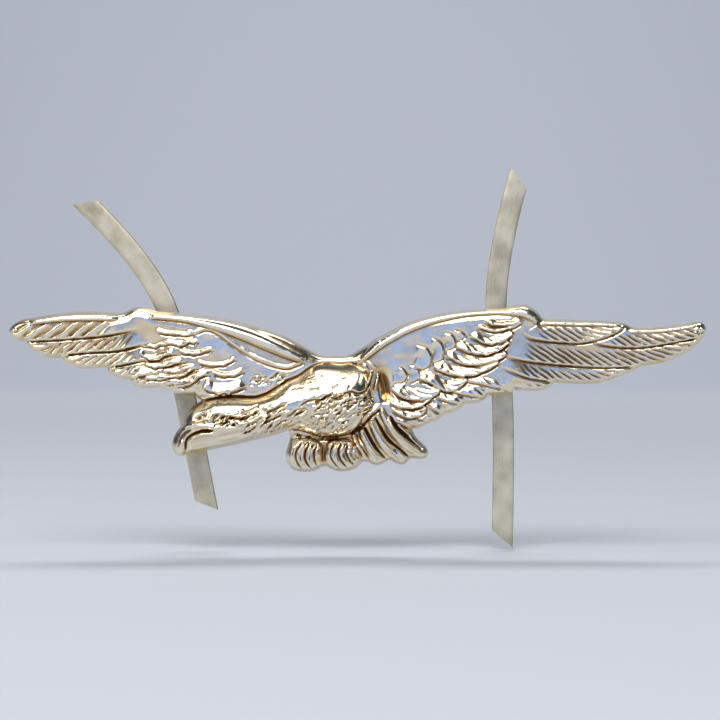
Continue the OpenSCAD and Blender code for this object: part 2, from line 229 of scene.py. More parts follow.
def addFeather(edge, width, inside, lift, fade, barbs=None, lip=0.16, fall=1.0, outer=True,
               shadow=0.16, ragged=0.0):
    # a feather by its free lower edge, from root to tip; the next one above covers its other side
    line = curveThrough(edge)
    area, s, along, total = measure(line, width)
    s = s * inside + ragged * patchy[area]
    live = (along > 0) & (along < total)
    if outer:    # its free edge is part of the outline
        silhouette[area] = np.maximum(silhouette[area], np.where(live, s, -9))
    share = np.clip(s / width, 0, 1)
    root = smooth(along / fade)
    shape = lift * smooth(s / lip) * (1 - share) ** fall * root
    if barbs:
        spacing, slant, depth, skewed = barbs
        turn = math.radians(slant)
        phase = (along * math.sin(turn) + s * math.cos(turn)) / spacing + 0.12 * wobble[area]
        saw = phase - np.floor(phase)
        groove = np.sin(math.pi * saw ** skewed) ** 0.75 - 1
        margin = smooth((s - 0.05) / 0.15) * smooth((along - 0.6 * fade) / fade)
        strength = depth * (1 + 0.35 * patchy[area])
        shape = shape + np.where(live & (s > 0), groove * strength * margin, 0)
    cut = np.exp(-((s + 0.07) / 0.075) ** 2) * root * smooth((total - along) / 0.5) * (along > 0)
    carved[area] -= shadow * cut
    mine = live & (s > 0) & (shape > coat[area])
    coat[area] = np.where(mine, shape, coat[area])


def addBand(spine, halfWidths, height):
    # a half-round band along a spine, its half width given at even steps
    line = curveThrough(spine)
    reach = max(halfWidths) + 0.05
    area, s, along, total = measure(line, reach)
    w = np.interp(along / total, np.linspace(0, 1, len(halfWidths)), halfWidths)
    ends = smooth(along / 0.8) * smooth((total - along) / 0.8)
    shape = height * np.clip(1 - (s / np.maximum(w, 0.01)) ** 2, 0, 1) ** 0.5 * ends
    coat[area] = np.maximum(coat[area], shape)


def carve(line, halfWidth, height, field=None):
    # a fine raised (+) or cut (-) line with soft ends
    field = carved if field is None else field
    path = curveThrough(line, step=0.12)
    area, s, along, total = measure(path, 2.4 * halfWidth)
    beyond = np.maximum(0, np.maximum(-along, along - total))
    taper = smooth((np.minimum(along, total - along) + halfWidth) / min(5 * halfWidth, 0.5 * total))
    field[area] += height * np.exp(-(s ** 2 + beyond ** 2) / halfWidth ** 2) * taper


def addRidge(spine, halfWidths, heights):
    # a round-backed plume with heights of its own
    line = curveThrough(spine)
    reach = max(halfWidths) + 0.3
    area, s, along, total = measure(line, reach)
    share = np.clip(along / total, 0, 1)
    w = np.interp(share, np.linspace(0, 1, len(halfWidths)), halfWidths)
    h = np.interp(share, np.linspace(0, 1, len(heights)), heights)
    shape = h * np.clip(1 - (np.abs(s) / w) ** 2, 0, 1) ** 0.4
    solidWork[area] = np.maximum(solidWork[area], shape)


def carveAll(lines):    # line, half width, height
    for line, halfWidth, height in lines:
        carve(line, halfWidth, height)


def scatter(count, low, high, angle, spread, length, halfWidth, height, seed, bend=0.15):
    # short strokes strewn over a patch, all much the same way
    rng = np.random.default_rng(seed)
    for _ in range(count):
        x, z = rng.uniform(low[0], high[0]), rng.uniform(low[1], high[1])
        turn = math.radians(angle + rng.uniform(-spread, spread))
        size = length * rng.uniform(0.6, 1.4)
        d = np.array([math.cos(turn), math.sin(turn)]) * size / 2
        side = np.array([-d[1], d[0]]) * bend * rng.uniform(-1, 1) * 2
        p = np.array([x, z])
        carve([p - d, p + side, p + d], halfWidth * rng.uniform(0.8, 1.3),
              height * rng.uniform(0.5, 1.2))


leftWing = {
    "web": [(-31.85, 1.75), (-31.5, 2.3), (-30.7, 2.75), (-29.5, 3), (-27, 3.38), (-25, 3.53),
        (-23, 3.47), (-21.8, 3.38), (-21.1, 3.55), (-20.5, 3.85), (-19.9, 3.95), (-19.2, 3.82),
        (-18.3, 3.55), (-17, 3.43), (-15, 3.25), (-13, 3), (-11, 2.62), (-9, 2.1), (-7, 1.4),
        (-5.5, 0.68), (-4.2, -0.1), (-3.4, -0.48), (-2.8, -0.54), (-1.6, -0.54), (-0.8, -0.46),
        (0, -0.05), (1, 0.58), (2, 1.15), (2.2, -0.5), (0.5, -3), (-3, -5), (-8, -5), (-13.3, -5),
        (-14.45, -4.5), (-15.2, -3.9), (-17.4, -3.4), (-19.4, -3.15), (-20.45, -2.75), (-21.4, -2.42),
        (-22.3, -1.95), (-22.7, -1.5), (-25.5, -1.3), (-26.8, -0.6), (-29, 0), (-29.9, 0.7),
        (-31.2, 1.2)],
    "primaries": [    # lower edge from root to tip, and how far up the next one lies
        ([(-13, -3.9), (-14.2, -4.2), (-15.3, -4.15), (-16.3, -4), (-17.3, -3.75), (-18.1, -3.4)], 0.8),
        ([(-15, -2.9), (-16.5, -3.1), (-18.2, -3.42), (-19.2, -3.5), (-20, -3.4), (-20.6, -3.05),
          (-20.8, -2.75), (-20.6, -2.4), (-20, -2.2)], 1),
        ([(-17, -2.1), (-19, -2.3), (-20.6, -2.62), (-21.5, -2.64), (-22.3, -2.35), (-22.85, -1.9),
          (-22.7, -1.4), (-22.1, -1.2)], 1.05),
        ([(-18, -0.8), (-20, -1.1), (-22, -1.48), (-24, -1.68), (-25.3, -1.66), (-26.3, -1.3),
          (-27, -0.8), (-27, -0.3), (-26.6, 0)], 1.25),
        ([(-18, 0.75), (-20.3, 0.25), (-22, -0.1), (-24, -0.22), (-26, -0.4), (-27.4, -0.72),
          (-28.2, -0.7), (-29.2, -0.3), (-29.9, 0.15), (-30.25, 0.65), (-30, 0.95)], 1.25),
        ([(-19.4, 1.9), (-22, 1.42), (-24, 1.15), (-27.5, 0.9), (-29.5, 0.8), (-30.8, 0.85),
          (-31.5, 1.15), (-31.85, 1.65), (-31.7, 2.1)], 1.75)],
    "barbs": [    # their spacing and depth on each primary
        (0.42, 0.2), (0.46, 0.2), (0.5, 0.2), (0.52, 0.2), (0.54, 0.2), (0.8, 0.32)],
    "coverts": [    # as the primaries, and the height of the edge
        ([(-13.2, -2.1), (-14.5, -2.75), (-15.5, -3.25), (-16.6, -3.5)], 0.75, 0.34),
        ([(-14.4, -1.6), (-15.5, -2.2), (-16.8, -2.6), (-18.3, -2.75), (-19.3, -2.65)], 0.65, 0.34),
        ([(-14.5, -1.5), (-15.6, -1.8), (-16.6, -2.1), (-17.6, -2.1)], 0.5, 0.3),
        ([(-15.6, -1), (-16.7, -1.35), (-17.7, -1.62), (-18.7, -1.6), (-19.3, -1.4)], 0.6, 0.34),
        ([(-16.3, -0.25), (-17.3, -0.6), (-18.4, -0.9), (-19.2, -0.82), (-19.9, -0.45)], 0.55, 0.34),
        ([(-17.2, 0.6), (-18, 0.3), (-18.8, 0.2), (-19.8, 0.3)], 0.35, 0.22),
        ([(-12.9, 0.05), (-13.7, -0.25), (-14.4, -0.42), (-15.3, -0.45), (-16.2, -0.2)], 0.4, 0.3),
        ([(-14.2, 0.85), (-15.2, 0.55), (-16.1, 0.38), (-17, 0.55), (-17.7, 0.4)], 0.42, 0.3),
        ([(-14.6, 1.6), (-15.3, 1.35), (-16.2, 1.25), (-17, 1.3), (-17.6, 1.55),
          (-18.2, 1.6)], 0.42, 0.3),
        ([(-10, -3.2), (-11.3, -3.9), (-12.8, -4), (-14, -3.5)], 1, 0.36),
        ([(-10.1, -1.85), (-11, -2.3), (-12, -2.5), (-13.2, -2.2)], 0.45, 0.3),
        ([(-10.8, -0.8), (-12, -1.35), (-13.2, -1.55), (-14.5, -1.3)], 0.4, 0.26)],
    "lining": [    # the lower lines of the smooth wing lining, near the body
        ([(-4.6, -1.05), (-5.6, -1.5), (-6.5, -1.75), (-8, -1.4), (-9.3, -0.85), (-10.4, -0.2),
          (-11.5, 0.55), (-12.6, 1.35), (-13.7, 1.75), (-14.8, 1.35)], 0.5, 0.16)],
}

rightWing = {
    "web": [(0.3, -0.3), (1, 0.45), (1.6, 0.92), (2, 1.2), (3, 1.75), (4, 2.25), (5, 2.65), (6, 2.97),
        (8, 3.4), (10, 3.65), (12, 3.78), (13.4, 3.82), (14.1, 4.05), (14.8, 4.2), (15.5, 4.1),
        (16.1, 3.8), (16.6, 3.35), (17, 2.87), (18, 2.85), (20, 2.75), (22, 2.7), (24, 2.52),
        (24.6, 2.35), (25.1, 2.1), (26, 2.05), (27, 2.05), (29, 2.25), (30, 2.4), (31, 2.57),
        (31.5, 2.52), (31.8, 2.2), (31.85, 1.7), (31, 0.9), (29, 0), (26, -1), (24, -1.9), (21, -2.6),
        (18, -2.8), (16.8, -3.3), (14, -3.5), (12, -3.9), (10, -4.65), (9, -5.1), (7.8, -5.6),
        (6.4, -6.4), (4.5, -6.8), (2, -6.5), (0, -4)],
    "primaries": [
        ([(12.4, -2.9), (14.3, -3.65), (15.3, -3.77), (16.5, -3.75), (17.3, -3.55), (17.9, -3.1),
          (18, -2.8)], 0.8),
        ([(12.6, -1.4), (14.5, -2.2), (15.5, -2.55), (17, -2.8), (18.2, -3), (20, -3.1), (21.5, -3.08),
          (22.8, -2.82), (24, -2.4), (25.2, -1.88), (26.1, -1.4)], 1.15),
        ([(13, -0.5), (15, -1), (17, -1.25), (20, -1.5), (22, -1.6), (24, -1.6), (26, -1.45),
          (27.3, -1.3), (28.6, -0.95), (29.7, -0.45), (30.6, 0.1), (31.3, 0.75), (31.75, 1.4),
          (31.85, 2)], 1.7),
        ([(20.5, 0.9), (22.3, 0.42), (24, 0.22), (25.5, 0.2), (27, 0.35), (28.5, 0.6), (30, 0.87),
          (31.1, 1.2)], 1.3),
        ([(14.9, 2.2), (15.1, 1.45), (15.8, 1), (17, 0.77), (18.5, 0.66), (20, 0.58), (21.3, 0.75),
          (22.4, 1.05), (23.3, 1.4), (24, 1.8), (24.4, 2.2)], 1.5)],
    "outerRow": [
        ([(3.2, -6.4), (4.3, -6.95), (5.2, -7.2), (6, -6.97), (6.8, -6.6)], 0.7),
        ([(4.8, -6), (5.6, -6.35), (6.4, -6.58), (7.1, -6.5), (7.7, -6.18), (8.1, -5.85)], 0.7),
        ([(6.2, -5), (7, -5.5), (7.8, -5.87), (8.6, -5.77), (9.3, -5.48), (9.8, -5.05)], 0.8),
        ([(6.8, -4.2), (7.8, -4.6), (9, -4.92), (10, -4.98), (11, -4.84), (11.55, -4.6),
          (11.85, -4.25)], 0.8),
        ([(8, -3.8), (10, -4.15), (11.2, -4.34), (12, -4.22), (13, -4.1), (13.8, -3.95),
          (14.3, -3.7)], 0.9),
        ([(9.6, -2.9), (11.4, -3.2), (12.8, -3.5), (13.9, -3.75), (14.6, -3.5)], 0.8)],
    "innerRow": [
        ([(3, -5.3), (3.8, -6), (4.6, -6.2), (5.5, -6.1), (6.1, -5.7), (6.35, -5.2)], 0.85),
        ([(2.8, -4.6), (3.5, -5.2), (4.5, -5.42), (5.5, -5.3), (6.3, -4.9), (6.9, -4.35)], 0.8),
        ([(2.9, -3.5), (3.7, -4.25), (4.6, -4.6), (5.6, -4.65), (6.5, -4.45), (7.2, -4.1),
          (7.6, -3.7)], 1.2),
        ([(5.2, -2.7), (6.4, -3), (7.3, -3.5), (8, -3.8), (8.8, -3.75), (9.5, -3.35),
          (10.1, -2.85)], 1.05),
        ([(6.7, -1.4), (7.4, -1.95), (8.6, -2.4), (9.9, -2.5), (11, -2.2), (12, -1.8),
          (12.9, -1.2)], 0.95),
        ([(7.8, -0.5), (8.6, -0.95), (9.6, -1.35), (10.8, -1.45), (12, -1.25), (12.9, -0.9),
          (13.6, -0.5)], 0.75),
        ([(8.7, 0.5), (9.5, -0.1), (10.5, -0.42), (11.6, -0.5), (12.5, -0.25), (13.3, 0.15),
          (13.9, 0.6)], 0.85),
        ([(10, 1.3), (10.8, 0.8), (11.6, 0.5), (12.5, 0.48), (13.4, 0.8), (14.2, 1.3)], 0.75),
        ([(10.7, 2.1), (11.5, 1.75), (12.5, 1.62), (13.5, 1.78), (14.4, 2.1), (15, 2.5)], 0.45),
        ([(11.4, 2.55), (12.2, 2.22), (13, 2.12), (13.9, 2.2), (14.8, 2.55)], 0.5)],
    "scales": [    # round lobes, by their free right-hand edges from top to bottom
        ([(3.6, -1.5), (4.35, -1.9), (4.45, -2.5), (4, -2.95), (3.2, -3)], 0.8),
        ([(4.6, -1.3), (5.45, -1.7), (5.7, -2.3), (5.3, -2.8), (4.6, -2.95)], 0.8),
        ([(5.2, 0.5), (6.3, 0.1), (6.7, -0.7), (6.4, -1.5), (5.7, -1.8), (5, -1.5)], 1.1),
        ([(6.6, 1.2), (7.5, 0.7), (7.8, -0.1), (7.6, -0.9), (7, -1.15)], 0.8),
        ([(7.7, 1.6), (8.6, 1.3), (8.9, 0.7), (8.6, 0.1), (8, 0)], 0.6),
        ([(8.6, 1.9), (9.5, 1.6), (9.7, 1.2), (9.3, 0.9)], 0.45)],
}

addWeb(leftWing["web"])
addWeb(rightWing["web"])
for (edge, width), (spacing, deep) in zip(leftWing["primaries"], leftWing["barbs"]):
    addFeather(edge, width, -1, lift=0.4, barbs=(spacing, 33, deep, 1.3), fade=3.2)
for edge, width, lift in leftWing["coverts"]:
    addFeather(edge, width, -1, lift=lift, fade=0.8, lip=0.14, fall=0.7, outer=False, ragged=0.12)
for edge, width, lift in leftWing["lining"]:
    addFeather(edge, width, -1, lift=lift, fade=0.8, outer=False)
for n, (edge, width) in enumerate(rightWing["primaries"]):
    addFeather(edge, width, 1, lift=0.34, barbs=(0.42, 28, 0.17, 1.5), fade=2.8, outer=n < 3)
for edge, width in rightWing["outerRow"]:
    addFeather(edge, width, 1, lift=0.3, fade=1.0, barbs=(0.5, 30, 0.06, 1.3), shadow=0.12,
               ragged=0.04)
for edge, width in rightWing["innerRow"]:
    addFeather(edge, width, 1, lift=0.42, fade=0.8, barbs=(0.5, 24, 0.06, 1.3), fall=0.8,
               outer=False, shadow=0.14, ragged=0.07)
for edge, width in rightWing["scales"]:
    addFeather(edge, width, -1, lift=0.1, fade=0.6, lip=0.1, fall=0.6, outer=False, shadow=0.1,
               ragged=0.05)

bands = [    # spine, half widths at even steps, height
    ([(-19, 3.15), (-16, 2.95), (-14, 2.58), (-12, 2.08), (-10, 1.38), (-8, 0.52),
      (-6, -0.38), (-4.6, -0.95)],
     [0.3, 0.35, 0.42, 0.52, 0.62, 0.64, 0.55, 0.35], 0.62),
    ([(-30, 2.45), (-27, 2.85), (-24, 2.95), (-21.5, 2.95)],
     [0.2, 0.26, 0.28, 0.3], 0.5),
    ([(0.2, -1.1), (2, 0.6), (4, 1.85), (6, 2.6), (8, 3.1), (10, 3.42), (12, 3.55),
      (14, 3.6)],
     [0.2, 0.45, 0.55, 0.5, 0.42, 0.36, 0.34, 0.34], 0.6),
    ([(12.6, 3.5), (14, 3.62), (15.3, 3.5), (16.6, 2.7)],
     [0.3, 0.5, 0.62, 0.4], 0.5),
    ([(16.6, 2.45), (19, 2.4), (22, 2.35), (24.3, 2.15)],
     [0.16, 0.17, 0.17, 0.13], 0.5),
    ([(24.6, 1.75), (27, 1.75), (29, 1.95), (31.2, 2.3)],
     [0.15, 0.15, 0.16, 0.12], 0.4)]
for spine, halfWidths, height in bands:
    addBand(spine, halfWidths, height)
print("wings feathered")

body = {
    "outline": [(-16.9, -9), (-16.87, -8.2), (-16.45, -7.35), (-16, -6.75), (-15.87, -6.2), (-15.5, -5.6),
        (-15, -5.1), (-14.4, -4.72), (-13.4, -4.3), (-12, -4.08), (-10.5, -4.05), (-9.4, -4.1),
        (-8.4, -3.8), (-7.4, -3.25), (-6.4, -2.6), (-5.4, -2.2), (-4.5, -1.55), (-3.8, -1.2), (-3, -1.05),
        (-1.5, -1.1), (-0.2, -1.05), (0.9, -1.15), (1.5, -1.8), (1.65, -2.8), (1.7, -3.8), (2, -4.5),
        (2.5, -4.9), (1.8, -5.5), (1, -6.3), (0.5, -7), (-0.2, -7.5), (-1.1, -7.78), (-2, -7.95),
        (-3, -7.95), (-4, -7.75), (-5, -7.45), (-6, -7.3), (-7, -7.62), (-8, -7.9), (-9.5, -8.25),
        (-11, -8.62), (-13, -9.03), (-14.4, -9.32), (-15.1, -9.42), (-15.6, -9.5), (-16, -9.68),
        (-16.5, -9.6)],
    # height of its crown along the badge, how far in its rounding reaches, where its ridge runs
    "topAt": [(-17, 1.2), (-16, 1.8), (-15, 2.25), (-13, 2.65), (-10, 2.8), (-7, 2.95), (-4, 3.1),
        (-2, 3.12), (0, 3), (1.5, 2.7), (2.4, 2.4)],
    "roundAt": [(-17, 0.7), (-15, 1.5), (-12, 2), (-8, 1.9), (-5, 2.6), (-1, 2.9), (1, 2.6),
        (2.4, 1.4)],
    "ridgeAt": [(-17, -7.2), (-12, -6.4), (-8, -6), (-4, -5.3), (0, -4.9), (2.4, -4.9)],
    "slope": 0.28, "slopeOver": 4.2,    # how it falls away above the ridge
    "edgeHeight": 0.9,
    "swells": (0.09, 0.05),    # beaten unevenness, broad and close
    "settle": 0.6,    # how far the wings sink beneath it
}

lowWeb = [    # under the claws and tail
    (-6.1, -7), (-6.15, -8), (-6.38, -8.8), (-6.56, -9.5), (-6.5, -10.1), (-6.25, -10.6),
    (-5.85, -10.95), (-5.2, -11.12), (-4.5, -11.15), (-3.9, -11.03), (-3.45, -10.8), (-3.1, -10.62),
    (-2.8, -10.65), (-2.3, -10.93), (-1.6, -11.1), (-0.9, -11.05), (-0.3, -10.88), (0.12, -10.6),
    (0.45, -10.25), (0.9, -10.2), (1.4, -10.47), (1.95, -10.52), (2.45, -10.3), (2.95, -10.05),
    (3.4, -10.3), (4, -10.48), (4.4, -10.38), (4.7, -10.02), (5, -9.88), (5.5, -9.95), (6, -9.93),
    (6.35, -9.75), (6.47, -9.35), (6.25, -8.85), (5.85, -8.45), (5.4, -8), (5.1, -7.5), (4.9, -7),
    (4, -6), (2, -5), (-3, -5)]
addWeb(lowWeb)


def addDome(outline, top, roundness, low):
    # a rounded lump, by its outline
    area, s = signedInside(outline, roundness + 0.2)
    bulge = roundOver(s / roundness)
    solidWork[area] = np.maximum(solidWork[area], np.where(s > 0, low + (top - low) * bulge, 0))


claws = {    # two clenched bunches, and the grooves between their plumes
    "bunches": [    # outline, roundness
        ([(-6.25, -8.2), (-6.55, -9), (-6.62, -9.8), (-6.4, -10.5), (-5.9, -10.98), (-5.1, -11.2),
          (-4.2, -11.15), (-3.6, -10.95), (-3.15, -10.5), (-3.2, -9.6), (-3.25, -8.7), (-3.8, -8.15),
          (-5, -8)], 1.15),
        ([(-2.5, -8.2), (-2.85, -8.9), (-2.98, -9.7), (-2.8, -10.5), (-2.2, -10.98), (-1.5, -11.15),
          (-0.7, -11.05), (0, -10.75), (0.4, -10.3), (0.3, -9.5), (-0.1, -8.6), (-0.9, -8.1)], 1.1)],
    "low": 0.9, "high": 1.95,
    "grooves": [
        [(-4.95, -8.3), (-5.5, -9.1), (-5.58, -9.9), (-5, -11.05)],
        [(-4.3, -8.3), (-4.72, -9.2), (-4.72, -10), (-4.15, -10.95)],
        [(-3.65, -8.5), (-3.95, -9.3), (-3.88, -10.1), (-3.45, -10.75)],
        [(-2, -8.3), (-2.4, -9.1), (-2.35, -9.9), (-1.55, -10.95)],
        [(-1.4, -8.3), (-1.72, -9.1), (-1.6, -9.85), (-0.85, -10.85)],
        [(-0.85, -8.5), (-1.05, -9.2), (-0.85, -9.8), (-0.25, -10.6)]],
    "fineLines": [(-6.1, -9.2), (-5.15, -9.4), (-4.3, -9.6), (-2.75, -9.3), (-2.05, -9.5), (-1.3, -9.6),
                  (-0.5, -9.5)],
}
for outline, roundness in claws["bunches"]:
    addDome(outline, claws["high"], roundness, claws["low"])
for groove in claws["grooves"]:
    carve(groove, 0.1, -0.32)
    carve([(x + 0.26, z) for x, z in groove], 0.13, 0.14)
for x, z in claws["fineLines"]:
    carve([(x + 0.1, z + 0.5), (x, z - 0.2), (x + 0.15, z - 0.9)], 0.05, -0.07)
scatter(14, (-0.8, -10.3), (0.1, -8.7), -60, 35, 0.4, 0.06, -0.14, 51)

tail = [    # plumes: middle line, half widths, heights
    ([(-0.3, -7.8), (0.2, -8.7), (0.95, -9.9)], [0.3, 0.45, 0.4], [1.7, 1.8, 1.4]),
    ([(0.4, -7.4), (1, -8.7), (1.9, -10.15)], [0.35, 0.52, 0.55], [1.8, 1.9, 1.5]),
    ([(1.3, -6.6), (2.25, -8.4), (3.9, -10.1)], [0.4, 0.62, 0.62], [1.95, 2.0, 1.5]),
    ([(2.2, -5.5), (3, -7.1), (4.3, -8.5), (5.9, -9.6)], [0.35, 0.55, 0.62, 0.5], [2.1, 2.2, 1.95, 1.5]),
    ([(3.1, -6), (4.1, -7.15), (5.3, -8.05), (6.2, -9.1)], [0.2, 0.3, 0.34, 0.28],
     [1.7, 1.75, 1.6, 1.25])]
for spine, halfWidths, heights in tail:
    addRidge(spine, halfWidths, heights)
tailLines = [
    ([(-0.2, -7.6), (0.4, -8.8), (1.2, -10.2)], 0.08, -0.36),
    ([(0.5, -6.8), (1.6, -8.8), (2.75, -10.1)], 0.09, -0.4),
    ([(1.5, -6.0), (2.7, -8.0), (3.8, -9), (4.9, -9.95)], 0.1, -0.45),
    ([(2.75, -6), (3.3, -7.15), (4.5, -8.3), (5.7, -9.2)], 0.09, 0.3),
    ([(2.95, -5.9), (3.6, -7.1), (4.75, -8.15), (6, -9.15)], 0.08, -0.35),
    ([(1.9, -5.6), (2.4, -6.6), (3.1, -7.7)], 0.08, -0.16),
    ([(1.3, -6.2), (1.8, -7.2), (2.3, -7.9)], 0.07, -0.14)]
carveAll(tailLines)

area, inBody = signedInside(body["outline"], 3.2)
silhouette[area] = np.maximum(silhouette[area], inBody)
bodyX = gridX[area[1]][None, :]
top = np.interp(bodyX, *zip(*body["topAt"]))
roundness = np.interp(bodyX, *zip(*body["roundAt"]))
bulge = roundOver(inBody / roundness)
bulge = blur(bulge, 0.28)
softSide = 0.12 + 0.9 * smooth((bodyX + 0.8) / 1.6)    # it runs softly into the right wing
aboveRidge = gridZ[area[0]][:, None] - np.interp(bodyX, *zip(*body["ridgeAt"]))
top = top * (1 - body["slope"] * smooth(aboveRidge / body["slopeOver"]))
bodyHeight = body["edgeHeight"] * smooth(inBody / softSide) + (top - body["edgeHeight"]) * bulge
bodyMask = np.zeros(gridShape)
bodyMask[area] = smooth(inBody / 0.2) * (1 - smooth((bodyX + 1.2) / 1.6))
bodyWork = np.zeros(gridShape)
bodyWork[area] = np.where(inBody > 0, bodyHeight, 0)

headLines = [    # line, half width, height
    ([(-15.5, -6.15), (-14.9, -5.75), (-14.2, -5.45), (-13.5, -5.35)], 0.3, 0.16),    # brow
    ([(-14.75, -6.35), (-14.3, -6.18), (-13.9, -5.98), (-13.65, -5.75)], 0.17, -0.34),    # eye socket
    ([(-15.3, -6.62), (-14.8, -6.55), (-14.1, -6.55), (-13.65, -6.35)], 0.075, -0.2),
    ([(-14.12, -6.16), (-13.95, -6.08)], 0.1, 0.4),    # eye
    ([(-13.2, -5.5), (-13.25, -6), (-13.45, -6.5), (-13.3, -6.85)], 0.13, 0.16),
    ([(-12.85, -5.7), (-12.95, -6.3), (-12.9, -6.8)], 0.1, -0.14),
    ([(-16.35, -7.75), (-15.95, -7.1), (-15.3, -6.8), (-14.3, -6.82), (-13.4, -6.95), (-12.6, -7.1)],
     0.24, 0.26),    # upper bill
    ([(-15.68, -9.45), (-15.62, -8.75), (-15.5, -8.15), (-15.1, -7.75), (-14.5, -7.45), (-13.9, -7.32),
      (-12.9, -7.3)], 0.115, -0.42),    # gape, running down into the hook
    ([(-15.3, -8.45), (-14.9, -7.98), (-14.4, -7.72), (-13.8, -7.6), (-13.1, -7.58)], 0.1, 0.2),
    ([(-16, -8.1), (-16.02, -8.8), (-15.98, -9.4)], 0.16, 0.16),
    ([(-16.65, -8.9), (-16.5, -8.1), (-16.2, -7.5)], 0.06, -0.14),
    ([(-16.35, -8.9), (-16.2, -8.2), (-15.85, -7.6), (-15.3, -7.25)], 0.06, -0.16),
    ([(-15.2, -8.9), (-14.4, -8.75), (-12.6, -8.35), (-10.6, -8)], 0.2, -0.1),
    ([(-12.3, -5.75), (-11.4, -5.85), (-10.5, -5.95), (-9.7, -5.75), (-8.95, -5.25)], 0.08, 0.2),
    ([(-11.9, -6.15), (-11.2, -6.2), (-10.3, -6.22), (-9.6, -6.0), (-8.9, -5.5)], 0.1, -0.32),
    ([(-10.9, -5.65), (-10.1, -5.6), (-9.5, -5.35), (-9, -5)], 0.06, -0.16),
    ([(-10.9, -6.75), (-10, -6.6), (-9.3, -6.3), (-8.6, -5.8)], 0.1, 0.16),
    ([(-8.7, -5.3), (-7.9, -5.5), (-7.2, -5.2), (-6.6, -4.7)], 0.09, -0.2),
    ([(-9.1, -6.7), (-8.5, -6.1), (-7.8, -5.9), (-6.8, -5.5)], 0.1, 0.14)]
carveAll(headLines)
headStrokes = [    # count, two corners, angle, spread, length, half width, height, seed
    (80, (-12.8, -6.85), (-11.0, -5.85), 40, 30, 0.4, 0.05, -0.2, 21),
    (30, (-10.8, -7.4), (-7.2, -6.1), 40, 12, 1.1, 0.07, -0.16, 22),
    (30, (-10.6, -7.3), (-6.6, -5.6), 38, 12, 1.0, 0.07, 0.15, 23),
    (40, (-10.4, -8.1), (-7.6, -7.3), 25, 30, 0.4, 0.06, -0.12, 24),
    (36, (-8.4, -7.0), (-4.6, -4.9), 32, 12, 1.0, 0.08, -0.13, 25),
    (36, (-8.4, -7.1), (-4.6, -5.2), 32, 12, 0.9, 0.08, 0.13, 26)]
for row in headStrokes:
    scatter(*row)

bodyLines = [
    ([(-4.45, -3.55), (-3.9, -3.53), (-3.4, -3.48)], 0.055, -0.16),
    ([(-2.4, -3.5), (-2.05, -3.3), (-1.65, -3.1)], 0.055, -0.16),
    ([(-3.3, -2.4), (-3.2, -2.34)], 0.06, -0.12),
    ([(-0.83, -3.6), (-0.72, -3.2)], 0.05, -0.16),
    ([(-5.2, -5.15), (-4.65, -4.7), (-4, -4.52), (-3.2, -4.5), (-2.7, -4.15),
      (-2.2, -4.02)], 0.08, -0.26),
    ([(-2.3, -4.5), (-1.75, -4.3), (-1.1, -3.95), (-0.55, -3.76), (0.2, -3.95), (0.8, -3.6),
      (1.2, -2.7)], 0.08, -0.26),
    ([(-1.3, -7.4), (-0.4, -7.1), (0.3, -6.5), (1, -5.8), (2.1, -4.95)], 0.28, 0.3),
    ([(-0.2, -7.45), (0.5, -6.85), (1.2, -6.1), (2.2, -5.3)], 0.1, -0.3),
    ([(0.75, -1.6), (0.5, -2.4), (0.25, -3.2)], 0.1, 0.16),
    ([(1.3, -1.9), (1.1, -2.6), (0.95, -3.2)], 0.08, 0.5),
    ([(1.9, -2.1), (1.75, -2.9), (1.55, -3.7)], 0.09, 0.5),
    ([(0.4, -1.2), (0.75, -1.5), (1, -2)], 0.09, 0.14),
    ([(0.7, -0.9), (1.2, -1.3), (1.7, -1.7)], 0.09, 0.14),
    ([(-4.6, -2.9), (-3.4, -2.7), (-2.4, -2.75)], 0.07, -0.05)]
carveAll(bodyLines)
bodyStrokes = [    # the same, and how bent they are
    (90, (-3.8, -5.9), (1.2, -4.2), 28, 18, 0.55, 0.06, -0.2, 31),
    (60, (-3.6, -5.8), (1.4, -4.0), 30, 20, 0.5, 0.06, 0.2, 32),
    (44, (-4.2, -7.2), (-0.8, -5.8), 38, 25, 0.6, 0.065, -0.15, 33, 0.35),
    (26, (-3.8, -7.0), (-0.9, -5.9), 38, 25, 0.6, 0.08, 0.14, 36, 0.35),
    (40, (-8, -5.0), (-1, -2.2), 25, 10, 0.9, 0.05, -0.045, 34),
    (44, (-9.6, -3.2), (-6.4, -2.2), 20, 30, 0.45, 0.06, -0.16, 35),
    (26, (-6, -8.1), (-1.5, -7.7), 10, 40, 0.35, 0.07, -0.12, 37)]
for row in bodyStrokes:
    scatter(*row)
print("body cut")

# fine slanting marks on the tail plumes
for spine, halfWidths, heights in tail[:4]:
    path = curveThrough(spine)
    for n in range(2, len(path) - 2, 2):
        heading = path[n + 1] - path[n - 1]
        heading = heading / np.linalg.norm(heading)
        turned = heading * 0.5 + np.array([-heading[1], heading[0]]) * -0.22
        carve([path[n] - turned * 0.5, path[n], path[n] + turned * 0.5], 0.05, -0.1)

swells = body["swells"][0] * softNoise(2.6, 43) + body["swells"][1] * softNoise(1.1, 44)
pit = np.zeros(gridShape)    # the deep hollows: by the wing root, over the claws and between them
for line, halfWidth, deep in [
        ([(2, -2), (2.35, -2.9), (2.55, -3.8), (2.6, -4.7)], 0.42, 0.75),
        ([(-6.3, -7.55), (-5, -7.85), (-3.4, -8.1), (-1.8, -8.12), (-0.5, -7.95)], 0.16, 0.14),
        ([(-3.05, -8.5), (-3.1, -9.4), (-3.1, -10.3)], 0.12, 0.12)]:
    carve(line, halfWidth, deep, pit)

